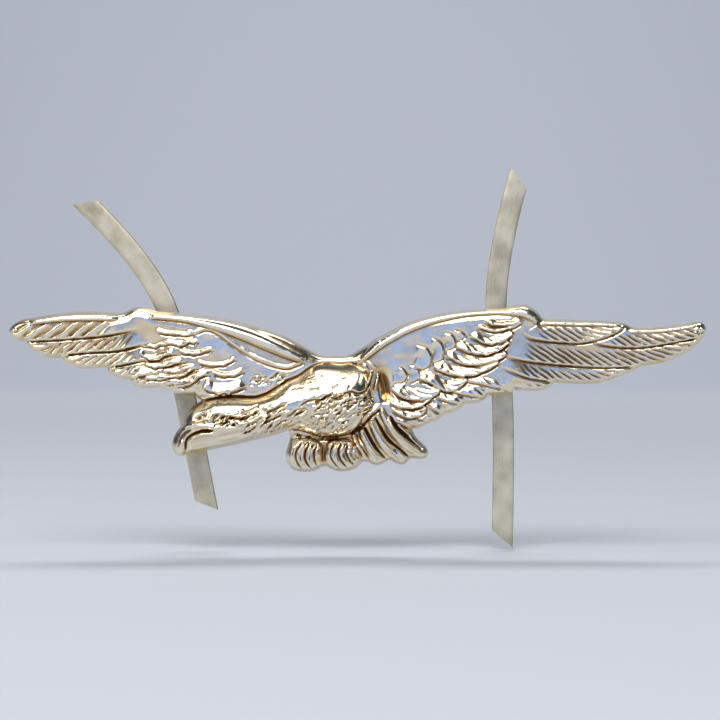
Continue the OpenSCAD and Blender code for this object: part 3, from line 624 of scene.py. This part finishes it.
wingTop = [    # height of the bare wings along the badge
    (-32, 1.1), (-30, 1.45), (-26, 1.6), (-20, 1.75), (-14, 1.8), (-8, 1.75), (-3.5, 1.4),
    (-0.5, 1.4), (2, 1.75), (8, 1.85), (14, 1.8), (20, 1.65), (26, 1.5), (30, 1.35),
    (32, 1.05)]
clawStep = {"under": -6.9, "share": 0.82}    # below the body everything lies lower
base = np.interp(gridX, *zip(*wingTop))[None, :] * np.ones((countZ, 1))
base = base * np.where(gridZ < clawStep["under"], clawStep["share"], 1)[:, None]
droop = {"from": 13.0, "over": 9.0, "most": 0.62, "top": 3.1, "down": 4.2}    # outer wings lean back
lean = smooth((np.abs(gridX) - droop["from"]) / droop["over"])[None, :]
base = base - droop["most"] * lean * smooth((droop["top"] - gridZ) / droop["down"])[:, None]
base = blur(base, 0.4)
base += 0.03 * softNoise(1.7, 41) + 0.015 * softNoise(0.6, 42)

inside = silhouette > 0
depth = depthInside(inside, 1.5)
depth = np.where(inside, np.maximum(depth - 0.5 * fine, 0), 0)
near = smooth(depth / 0.4)    # close to the edge the drawn distance is finer than the counted one
depth = depth * near + np.clip(silhouette, 0, depth + fine) * (1 - near)
rolled = {"lip": 0.22, "wall": 0.42, "shoulder": 1.2, "steep": 1.9, "least": 0.05}    # the outer edge
climb = 0.72 * (1 - (1 - np.clip(depth / rolled["wall"], 0, 1)) ** rolled["steep"])
climb += 0.28 * smooth(depth / rolled["shoulder"]) ** 0.7
work = (base + coat) * (1 - body["settle"] * bodyMask)
work = higher(work, bodyWork + swells * (bodyWork > 0) * smooth(bodyWork / 1.5))
work = higher(work, solidWork)
work = work + carved - pit
height = rolled["lip"] + np.maximum(work - rolled["lip"], rolled["least"]) * climb
height = np.minimum(height, table["drawnRelief"])
print("relief done: highest", round(float(height.max()), 2), "mm")


def standsOut(radius):    # how far each cell stands above the relief around it
    weight = blur(inside.astype(float), radius) + 1e-6
    return height - blur(np.where(inside, height, 0), radius) / weight


# painted shade and light from the relief: the colour goes darker in hollows and creases and lighter where
# the relief stands out; in the hollows it is partly a dark patina
offRim = smooth((depth - 0.12) / 0.5)    # the rim isn't counted as a hollow
recess = standsOut(0.3) * offRim
crease = standsOut(0.12) * (0.25 + 0.75 * smooth((depth - 0.15) / 0.45))
crease = crease * smooth((depth - 0.05) / 0.3)

# painted shade: darker brown patches where the relief lies in shade or reflects darker surroundings, on
# the outer wings, at the wing roots and below the body
tarnish = np.zeros(gridShape)
for x, z, wide, tall, much in [    # painted shade as darker patches: middle, half widths, how much
        (18, -0.6, 4.2, 2.4, 0.6), (1.9, -2.6, 0.7, 1.5, 0.9), (-25, 0.4, 6.5, 2.8, 0.42),
        (4.4, -7.9, 2.2, 1.6, 0.3), (-3.4, -8.4, 3.4, 0.5, 0.6), (-1.5, -4.6, 2.4, 0.9, 0.35),
        (-12, -6.4, 1, 0.5, 0.4), (26, 0.5, 5.5, 2, 0.42), (-5.5, -1.6, 2.4, 0.6, 0.4),
        (-10.5, -4.3, 4, 0.3, 0.6)]:
    far = ((gridX[None, :] - x) / wide) ** 2 + ((gridZ[:, None] - z) / tall) ** 2
    tarnish = np.maximum(tarnish, much * np.exp(-far * 1.2))
tarnish = tarnish * (0.75 + 0.5 * softNoise(0.9, 45))


# from the relief to a mesh: a cell's corners as steps up and to the right, and its sides
quarters = ((0, 0), (1, 0), (0, 1), (1, 1))
sides = (    # both ends of a side, and the neighbour beyond it
    ((0, 0), (0, 1), (-1, 0)), ((0, 1), (1, 1), (0, 1)),
    ((1, 1), (1, 0), (1, 0)), ((1, 0), (0, 0), (0, -1)))


def halved(field):    # fine cells to mesh points
    return 0.25 * sum(field[dj::2, di::2] for dj, di in quarters)


meshX = 0.5 * (gridX[0::2] + gridX[1::2])
meshZ = 0.5 * (gridZ[0::2] + gridZ[1::2])
outlineAt = halved(np.clip(silhouette, -1, 1))
heightAt = halved(height)
depthAt = halved(depth)
back = {"rim": 0.7, "turn": 0.5, "sheet": 0.6, "thinnest": 0.22}
pads = {"pastFold": 0.75, "halfWide": 1.45, "turn": 0.4}    # flat lands for the strips
hollowAt = halved(blur(height, 0.35)) - back["sheet"]
hollowAt = np.maximum(hollowAt, 0) * smooth((depthAt - back["rim"]) / back["turn"])
for side in ("left", "right"):
    low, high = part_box(side + "_solder")
    upper, lower = joints[side + "_upper_fold"]["pos_m"], joints[side + "_lower_fold"]["pos_m"]
    along = Vector((upper[0] - lower[0], upper[2] - lower[2]))
    pitch = along.length / mm
    along.normalize()
    x = meshX[None, :] - (upper[0] + lower[0]) / 2 / mm / plan
    z = meshZ[:, None] - (upper[2] + lower[2]) / 2 / mm / plan
    t = np.abs(x * along.x + z * along.y)
    s = np.abs(x * along.y - z * along.x)
    off = np.maximum(t - (pitch / 2 + pads["pastFold"]), s - pads["halfWide"])
    land = 1 - smooth(off / pads["turn"])
    hollowAt = hollowAt * (1 - land) + (-low.y / mm / rise) * land
hollowAt = np.maximum(np.minimum(hollowAt, heightAt - back["thinnest"]), 0)
thin = (heightAt - hollowAt)[depthAt > 0.4]
print("sheet between", round(float(thin.min()), 2), "and", round(float(thin.max()), 2), "mm thick")

kept = outlineAt > -0.45 * table["cell"]
full = kept[:-1, :-1] & kept[1:, :-1] & kept[:-1, 1:] & kept[1:, 1:]
cornerCount = np.zeros(kept.shape, int)
for dj, di in quarters:
    cornerCount[dj:full.shape[0] + dj, di:full.shape[1] + di] += full
used = cornerCount > 0
number = np.full(kept.shape, -1)
number[used] = np.arange(used.sum())
border = used & (cornerCount < 4)

slopeZ, slopeX = np.gradient(outlineAt, table["cell"])
steep = np.maximum(slopeX ** 2 + slopeZ ** 2, 0.3)
moveX = np.where(border, -outlineAt * slopeX / steep, 0)
moveZ = np.where(border, -outlineAt * slopeZ / steep, 0)
most = 0.9 * table["cell"]
pointX = (np.broadcast_to(meshX[None, :], kept.shape) + np.clip(moveX, -most, most))[used]
pointZ = (np.broadcast_to(meshZ[:, None], kept.shape) + np.clip(moveZ, -most, most))[used]
frontY = np.where(border, 0.2, heightAt)[used]
backY = np.where(border, 0, hollowAt)[used]
total = int(used.sum())


def gridFaces():    # front at every cell, back at every second one away from the rim
    rows, cols = np.nonzero(full)
    a, b = number[rows, cols], number[rows, cols + 1]
    c, d = number[rows + 1, cols + 1], number[rows + 1, cols]
    front = np.stack([a, b, c, d], 1).tolist()
    high, wide = full.shape[0] // 2 * 2, full.shape[1] // 2 * 2
    calm = depthAt[1:high:2, 1:wide:2] > 0.3
    for dj, di in quarters:
        calm &= full[dj:high:2, di:wide:2]
    calmAround, fullAround = np.pad(calm, 1), np.pad(full, 1)
    backFaces, walls = [], []
    for j in range(high // 2):
        for i in range(wide // 2):
            y, x = 2 * j, 2 * i
            if calm[j, i]:
                ring = []
                for p, q, (dj, di) in sides:
                    ring.append(number[y + 2 * p[0], x + 2 * p[1]])
                    if not calmAround[j + 1 + dj, i + 1 + di]:
                        ring.append(number[y + p[0] + q[0], x + p[1] + q[1]])
                backFaces.append([total + n for n in reversed(ring)])
                continue
            for r, q in ((y + dj, x + di) for dj, di in quarters):
                if full[r, q]:
                    ring = (number[r, q], number[r + 1, q], number[r + 1, q + 1], number[r, q + 1])
                    backFaces.append([total + n for n in ring])
    for p, q, (dj, di) in sides:
        beside = fullAround[1 + dj:1 + dj + full.shape[0], 1 + di:1 + di + full.shape[1]]
        for y, x in zip(*np.nonzero(full & ~beside)):
            m, n = number[y + p[0], x + p[1]], number[y + q[0], x + q[1]]
            walls.append([n, m, total + m, total + n])
    return front, backFaces, walls


front, backFaces, walls = gridFaces()
points = np.zeros((2 * total, 3))
points[:total, 0] = points[total:, 0] = pointX * plan * mm
points[:total, 2] = points[total:, 2] = pointZ * plan * mm
points[:total, 1] = -frontY * rise * mm
points[total:, 1] = -backY * rise * mm


def addPiece(name, points, faces):
    mesh = bpy.data.meshes.new(name)
    mesh.from_pydata(points, [], faces)
    mesh.polygons.foreach_set("use_smooth", np.ones(len(mesh.polygons), bool))
    piece = bpy.data.objects.new(name, mesh)
    bpy.context.scene.collection.objects.link(piece)
    return piece


def addAttribute(mesh, name, values):
    layer = mesh.attributes.new(name, "FLOAT", "POINT")
    layer.data.foreach_set("value", np.asarray(values, np.float32))


def ringQuads(rings, turns, first=0):    # quads between closed rings of points
    quads = []
    for j in range(rings - 1):
        for i in range(turns):
            a, b = first + j * turns + i, first + j * turns + (i + 1) % turns
            quads.append([a, b, b + turns, a + turns])
    return quads


def cleanUp(mesh, turn=True, weld=False):    # no loose points, and the faces turned outwards
    bm = bmesh.new()
    bm.from_mesh(mesh)
    bmesh.ops.delete(bm, geom=[v for v in bm.verts if not v.link_faces], context="VERTS")
    if weld:
        bmesh.ops.remove_doubles(bm, verts=bm.verts, dist=1e-7)
    if turn:
        bmesh.ops.recalc_face_normals(bm, faces=bm.faces)
    bm.to_mesh(mesh)
    bm.free()


eagle = addPiece("eagle", points.tolist(), front + backFaces + walls)
mesh = eagle.data
onBack = np.repeat([0, 1], total)
for name, field in (("recess", recess), ("crease", crease), ("tarnish", tarnish)):
    addAttribute(mesh, name, np.concatenate([halved(field)[used], np.zeros(total)]))
addAttribute(mesh, "behind", onBack)
rim = np.tile(border[used], 2)
pairs = np.zeros(2 * len(mesh.edges), int)
mesh.edges.foreach_get("vertices", pairs)
pairs = pairs.reshape(-1, 2)
sharp = rim[pairs].all(1) & (onBack[pairs[:, 0]] == onBack[pairs[:, 1]])
sharpLayer = mesh.attributes.get("sharp_edge") or mesh.attributes.new("sharp_edge", "BOOLEAN", "EDGE")
sharpLayer.data.foreach_set("value", sharp)
cleanUp(mesh, turn=False)
print("eagle mesh:", len(mesh.polygons), "faces")
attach(eagle, "badge")
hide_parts("eagle_stamping")


# each prong and its half of the foot is one ribbon that bends at the fold
strip = {
    "width": 1.95,
    "foldRadius": 0.45,     # middle line's radius where a prong folds out
    "footRadius": 0.55,     # and where the arm stands up from the foot
    "step": 0.2,            # length of a ribbon cell
    "edgeRound": 0.09,
    "skewOver": 2.4,        # how far back from the tip its slanting cut is felt
}
prongs = {    # the drift of each prong, as in the part: reach, sway, straight run, skew of the tip cut
    "left_upper": (13.3, -5.7, 5.2, 1.5),
    "left_lower": (12.9, 0.0, 6.0, -1.2),
    "right_upper": (13.9, 3.2, 5.5, 1.6),
    "right_lower": (15.7, -1.2, 5.0, -1.6),
}


def foldAt(name):
    return Vector(joints[name + "_fold"]["pos_m"]) / mm


def prongLine(reach, sway, straight, start):    # points of the middle line from the fold to the tip
    p = np.array([[0, start], [0, straight], [sway, reach]], float)
    t = np.linspace(0, 1, int(reach / strip["step"]))[1:, None]
    line = p[0] * (1 - t) ** 2 + p[1] * 2 * t * (1 - t) + p[2] * t ** 2
    tangent = (p[1] - p[0]) * (1 - t) + (p[2] - p[1]) * t
    return line, tangent / np.linalg.norm(tangent, axis=1, keepdims=True)


def buildStrip(name):
    side = name.split("_")[0]
    way = 1 if "upper" in name else -1
    fold, other = foldAt(name), foldAt(side + ("_lower" if way > 0 else "_upper"))
    out = (fold - other).normalized()
    across = Vector((out.z, 0, -out.x)) * way    # to the viewer's right on both prongs
    backward = Vector((0, 1, 0))
    low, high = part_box(name + "_prong")
    thick = (high.y - low.y) / mm
    wide = strip["width"]
    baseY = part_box(side + "_clip_base")[0].y / mm + thick / 2
    half = (fold - other).length / 2
    reach, sway, straight, skew = prongs[name]
    footR, foldR = strip["footRadius"], strip["foldRadius"]
    path = []    # distance out, y, sideways; heading out, y, sideways
    for t in np.arange(0, half - footR, strip["step"]):
        path.append((t, baseY, 0, 1, 0, 0))
    for a in np.linspace(0, math.pi / 2, 7):
        path.append((half - footR + footR * math.sin(a), baseY + footR * (1 - math.cos(a)), 0,
                     math.cos(a), math.sin(a), 0))
    for y in np.arange(baseY + footR + strip["step"], fold.y - foldR - 0.1, strip["step"]):
        path.append((half, y, 0, 0, 1, 0))
    for a in np.linspace(0, math.pi / 2, 8):
        path.append((half + foldR * (1 - math.cos(a)), fold.y - foldR + foldR * math.sin(a), 0,
                     math.sin(a), math.cos(a), 0))
    line, tangent = prongLine(reach, sway, straight, foldR)
    for (s, t), (ds, dt) in zip(line, tangent):
        path.append((half + t, fold.y, s, dt, 0, ds))
    r = strip["edgeRound"]
    section = []    # across, through
    for cx, cy, start in ((1, 1, 0), (-1, 1, 90), (-1, -1, 180), (1, -1, 270)):
        for turn in (0, 45, 90):
            a = math.radians(start + turn)
            section.append((cx * (wide / 2 - r) + r * math.cos(a),
                            cy * (thick / 2 - r) + r * math.sin(a)))
    ring = []
    for n, (u, v) in enumerate(section):
        ring.append((u, v))
        if n in (2, 8):    # more points across the two wide faces
            w = section[(n + 1) % 12]
            ring += [(u + (w[0] - u) * (k / 6), v + (w[1] - v) * (k / 6)) for k in range(1, 6)]
    middle = other + out * half
    verts, alongs, acrosses = [], [], []
    run, last = 0.0, None
    for n, (t, y, s, dt, dy, ds) in enumerate(path):
        heading = (out * dt + backward * dy + across * ds).normalized()
        here = middle + out * t + across * s
        here.y = y
        run += (here - last).length if n else 0
        last = here.copy()
        through = (backward * dt - out * dy).normalized() if abs(ds) < 1e-6 else backward
        sideways = heading.cross(through)
        if sideways.dot(across) < 0:
            sideways = -sideways
        left = (len(path) - 1 - n) * strip["step"]    # to the tip, which is cut askew
        cut = skew * float(smooth(1 - left / strip["skewOver"]))
        for u, v in ring:
            slide = -u / wide * cut
            verts.append(tuple((here + sideways * u + through * v + heading * slide) * mm))
            alongs.append(run + slide)
            acrosses.append(u)
    k = len(ring)
    faces = ringQuads(len(path), k)
    faces.append(list(range(k))[::-1])
    faces.append([len(verts) - k + m for m in range(k)])
    piece = addPiece(name + "_strip", verts, faces)
    mesh = piece.data
    addAttribute(mesh, "along", alongs)
    addAttribute(mesh, "across", acrosses)
    cleanUp(mesh)
    mesh.set_sharp_from_angle(angle=math.radians(50))
    start = (fold - backward * foldR) * mm
    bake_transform(piece)
    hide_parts(name + "_prong")
    return piece


strips = {name: buildStrip(name) for name in prongs}
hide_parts("left_clip_base")
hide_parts("right_clip_base")
print("strips bent")


solder = {"edge": 0.5, "fillet": 0.24, "seed": 5, "rings": 9, "turns": 72}


def buildSolder(side):
    rng = np.random.default_rng(solder["seed"] + len(side))
    low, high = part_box(side + "_solder")
    upper, lower = foldAt(side + "_upper"), foldAt(side + "_lower")
    out = (upper - lower).normalized()
    across = Vector((out.z, 0, -out.x))
    middle = (upper + lower) / 2
    floorY, topY = low.y / mm, high.y / mm
    halfLong, halfWide = (upper - lower).length / 2 - 0.1, strip["width"] / 2 + solder["edge"] * 0.75
    rings, turns = solder["rings"], solder["turns"]
    waves = [(k, rng.uniform(0, 6.28), rng.uniform(0.02, 0.07)) for k in (2, 3, 5, 7)]
    verts = []
    for layer in (0, 1):    # the underside, then the top
        for j in range(rings + 1):
            f = j / rings
            for i in range(turns):
                a = 2 * math.pi * i / turns
                c, s = math.cos(a), math.sin(a)
                scale = 1 / (abs(c) ** 4 + abs(s) ** 4) ** 0.25
                ragged = 1 + sum(m * math.sin(k * a + p) for k, p, m in waves)
                u, t = halfWide * f * c * scale * ragged, halfLong * f * s * scale * ragged
                beyond = abs(u) - strip["width"] / 2
                h = topY - floorY
                if beyond >= 0:    # it climbs against the strip's edges
                    h += solder["fillet"] * math.exp(-beyond / 0.2)
                h = h * (1 - f ** 6) if layer else 0.0
                p = middle + across * u + out * t
                p.y = floorY + h
                verts.append(tuple(p * mm))
    faces = [quad[::-1] for quad in ringQuads(rings + 1, turns)]
    faces += ringQuads(rings + 1, turns, (rings + 1) * turns)
    piece = addPiece(side + "_solder_pool", verts, faces)
    cleanUp(piece.data, weld=True)
    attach(piece, "badge")
    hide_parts(side + "_solder")
    return piece


pools = [buildSolder("left"), buildSolder("right")]
print("solder laid")


class Wire:    # a socket that can be used in sums
    def __init__(self, tree, socket):
        self.tree, self.socket = tree, socket

    def math(self, operation, other=None, flip=False):
        first, second = (other, self) if flip else (self, other)
        values = [first] if second is None else [first, second]
        return self.tree.node("ShaderNodeMath", {"operation": operation}, values)

    def __add__(self, other):
        return self.math("ADD", other)

    def __sub__(self, other):
        return self.math("SUBTRACT", other)

    def __rsub__(self, other):
        return self.math("SUBTRACT", other, True)

    def __mul__(self, other):
        return self.math("MULTIPLY", other)

    __radd__, __rmul__ = __add__, __mul__

    def clamp(self, low=0.0, high=1.0):
        return self.math("MAXIMUM", low).math("MINIMUM", high)


class Finish:    # a material being wired up
    def __init__(self, name):
        self.material = bpy.data.materials.new(name)
        self.material.use_nodes = True
        self.nodes = self.material.node_tree.nodes
        self.links = self.material.node_tree.links
        self.shader = self.nodes["Principled BSDF"]

    def node(self, kind, settings=None, inputs=None, output=0):
        made = self.nodes.new(kind)
        for key, value in (settings or {}).items():
            if key == "stops":
                ramp = made.color_ramp
                while len(ramp.elements) < len(value):
                    ramp.elements.new(0.5)
                for element, (place, colour) in zip(ramp.elements, value):
                    element.position = place
                    element.color = (*colour, 1)
            else:
                setattr(made, key, value)
        pairs = inputs.items() if isinstance(inputs, dict) else enumerate(inputs or [])
        for key, value in pairs:
            self.feed(made.inputs[key], value)
        return Wire(self, made.outputs[output])

    def feed(self, socket, value):
        if isinstance(value, Wire):
            self.links.new(value.socket, socket)
        elif value is not None:
            socket.default_value = value

    def set(self, **values):
        for key, value in values.items():
            self.feed(self.shader.inputs[key.replace("_", " ")], value)

    def attribute(self, name):
        return self.node("ShaderNodeAttribute", {"attribute_name": name}, output=2)

    def ramp(self, wire, stops):
        return self.node("ShaderNodeValToRGB", {"stops": list(stops)}, [wire])

    def noise(self, scale, detail, stretch=None):
        place = self.node("ShaderNodeTexCoord", output=3)
        if stretch:
            place = self.node("ShaderNodeMapping", {}, {"Vector": place, "Scale": stretch})
        return self.node("ShaderNodeTexNoise", {}, {"Vector": place, "Scale": scale, "Detail": detail})

    def bump(self, strength, distance, height):
        self.set(Normal=self.node("ShaderNodeBump", {}, {"Strength": strength, "Distance": distance,
                                                         "Height": height}))

    def mix(self, amount, first, second):
        return self.node("ShaderNodeMix", {"data_type": "RGBA"}, {0: amount, 6: first, 7: second}, 2)


def colour(r, g, b):
    return (r, g, b, 1.0)


gilt = {
    # ramp colours run from the painted shade in the deepest creases (deep, low) through mid to high, the
    # painted light where the relief stands out
    "deep": (0.1, 0.043, 0.015), "low": (0.38, 0.22, 0.09), "mid": (0.75, 0.58, 0.34),
    "high": (0.94, 0.85, 0.66), "smoothness": 0.17,
    "recess": 0.6, "crease": 5.0, "cloud": 0.25, "level": 0.64, "tarnish": 0.32,    # its shading
    "backDark": (0.50, 0.36, 0.17), "backLight": (0.66, 0.50, 0.27),
}


def giltBrass():
    f = Finish("gilt_brass")
    recess, crease, behind = f.attribute("recess"), f.attribute("crease"), f.attribute("behind")
    fineNoise = f.noise(9000, 4)
    broadNoise = f.noise(700, 3)
    paintedPatches = f.attribute("tarnish")
    # the colour carries painted shade and light: darker in hollows, creases and the shade patches,
    # lighter on raised parts; the cloud is random tone
    tone = recess * gilt["recess"] + crease * gilt["crease"] + (broadNoise - 0.5) * gilt["cloud"]
    tone = tone + gilt["level"] - paintedPatches * gilt["tarnish"]
    shade = f.ramp(tone.clamp(), [(0.0, gilt["deep"]), (0.3, gilt["low"]), (0.54, gilt["mid"]),
                                  (0.75, gilt["high"])])
    dull = f.mix((broadNoise * 1.6 - 0.4).clamp(), colour(*gilt["backDark"]), colour(*gilt["backLight"]))
    scratches = f.noise(2600, 2, stretch=(1, 1, 14))
    f.set(Base_Color=f.mix(behind, shade, dull), Metallic=1.0)
    rough = gilt["smoothness"] + (0.62 - tone.clamp()).clamp() * 0.34 + fineNoise * 0.06 + behind * 0.16
    f.set(Roughness=rough.clamp())
    f.bump(0.25, 0.00002, fineNoise * 0.5 + scratches * 0.5 + broadNoise)
    return f.material


stripTones = {"dark": (0.46, 0.38, 0.22), "mid": (0.70, 0.62, 0.42), "light": (0.86, 0.79, 0.58)}


def stripBrass():
    f = Finish("strip_brass")
    along, across = f.attribute("along"), f.attribute("across")
    place = f.node("ShaderNodeCombineXYZ", {}, [along * 0.12, across * 6, 0.0])
    lines = f.node("ShaderNodeTexNoise", {}, {"Vector": place, "Scale": 4.0, "Detail": 5.0})
    patches = f.noise(420, 4)
    shade = f.ramp((patches * 0.75 + lines * 0.25).clamp(), zip((0.3, 0.5, 0.7), stripTones.values()))
    f.set(Base_Color=shade, Metallic=1.0, Roughness=(0.36 + patches * 0.16 + lines * 0.08).clamp())
    f.bump(0.3, 0.00002, lines + patches)
    return f.material


solderTones = {"dark": (0.34, 0.31, 0.27), "mid": (0.55, 0.54, 0.52), "light": (0.68, 0.67, 0.65)}


def solderGrey():
    f = Finish("solder")
    patches = f.noise(900, 4)
    shade = f.ramp(patches, zip((0.3, 0.5, 0.7), solderTones.values()))
    f.set(Base_Color=shade, Metallic=1.0, Roughness=(0.26 + patches * 0.25).clamp())
    f.bump(0.4, 0.00005, f.noise(2500, 3))
    return f.material


def paint(piece, material):
    piece.data.materials.clear()
    piece.data.materials.append(material)


for pieces, material in (([eagle], giltBrass()), (strips.values(), stripBrass()), (pools, solderGrey())):
    for piece in pieces:
        paint(piece, material)
print("finishes on")


studio = {
    "floorGap": 0.0002, "floorColour": (0.53, 0.57, 0.65), "floorHalf": 3.0,
    "wallAt": 1.6, "bend": 0.5, "wallHigh": 2.5,
    "world": (0.05, 0.055, 0.065),
    "lamps": {    # place, target, size, watts, colour
        "key": ((-0.06, -0.36, 0.40), (0, 0, 0), (0.4, 0.3), 2.5, (1.0, 0.97, 0.93)),
        "window": ((0.1, -0.95, 0.1), (0, 0, 0), (0.9, 0.5), 1.75, (0.26, 0.43, 1.0)),
        "left": ((-0.46, -0.2, 0.26), (0, 0, 0), (0.34, 0.3), 0.75, (1.0, 0.96, 0.9)),
        "backdrop": ((0.0, 0.75, 1.3), (0, 1.1, 0), (1.2, 0.5), 15.0, (1.0, 0.98, 0.95)),
    },
}


def buildSweep():    # a pale floor that curves up into a far wall
    low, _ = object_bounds()
    floorZ = low.z - studio["floorGap"]
    half, wallAt, bend = studio["floorHalf"], studio["wallAt"], studio["bend"]
    profile = [(-half, floorZ), (wallAt - bend, floorZ)]
    for a in np.linspace(0, math.pi / 2, 17)[1:]:
        profile.append((wallAt - bend + bend * math.sin(a), floorZ + bend * (1 - math.cos(a))))
    profile.append((wallAt, floorZ + studio["wallHigh"]))
    verts = [(x, y, z) for y, z in profile for x in (-half, half)]
    faces = [[2 * n, 2 * n + 1, 2 * n + 3, 2 * n + 2] for n in range(len(profile) - 1)]
    sweep = addPiece("sweep", verts, faces)
    f = Finish("pale_floor")
    f.set(Base_Color=colour(*studio["floorColour"]), Roughness=0.75)
    paint(sweep, f.material)


def addLamp(name, place, target, size, power, tint):
    lamp = bpy.data.lights.new(name, "AREA")
    lamp.shape, lamp.size, lamp.size_y = "RECTANGLE", size[0], size[1]
    lamp.energy, lamp.color = power, tint
    holder = bpy.data.objects.new(name, lamp)
    holder.location = place
    holder.rotation_euler = (Vector(target) - Vector(place)).to_track_quat("-Z", "Y").to_euler()
    bpy.context.scene.collection.objects.link(holder)


buildSweep()
for name, settings in studio["lamps"].items():
    addLamp(name, *settings)
bpy.context.scene.view_settings.view_transform = "Standard"
world = bpy.data.worlds.new("studio")
world.use_nodes = True
world.node_tree.nodes["Background"].inputs[0].default_value = colour(*studio["world"])
world.node_tree.nodes["Background"].inputs[1].default_value = 1.0
bpy.context.scene.world = world

camera = {"lens": 100.0, "sensor": 36.0, "across": 65.4, "centre": (0.23, -0.91), "faceAt": -1.5}
lens = bpy.data.cameras.new("camera")
lens.lens, lens.sensor_width = camera["lens"], camera["sensor"]
lens.clip_start, lens.clip_end = 0.01, 20
eye = bpy.data.objects.new("camera", lens)
distance = camera["across"] * camera["lens"] / camera["sensor"] - camera["faceAt"]
eye.location = (camera["centre"][0] * mm, -distance * mm, camera["centre"][1] * mm)
eye.rotation_euler = (math.pi / 2, 0, 0)
bpy.context.scene.collection.objects.link(eye)
bpy.context.scene.camera = eye
print("studio lit")
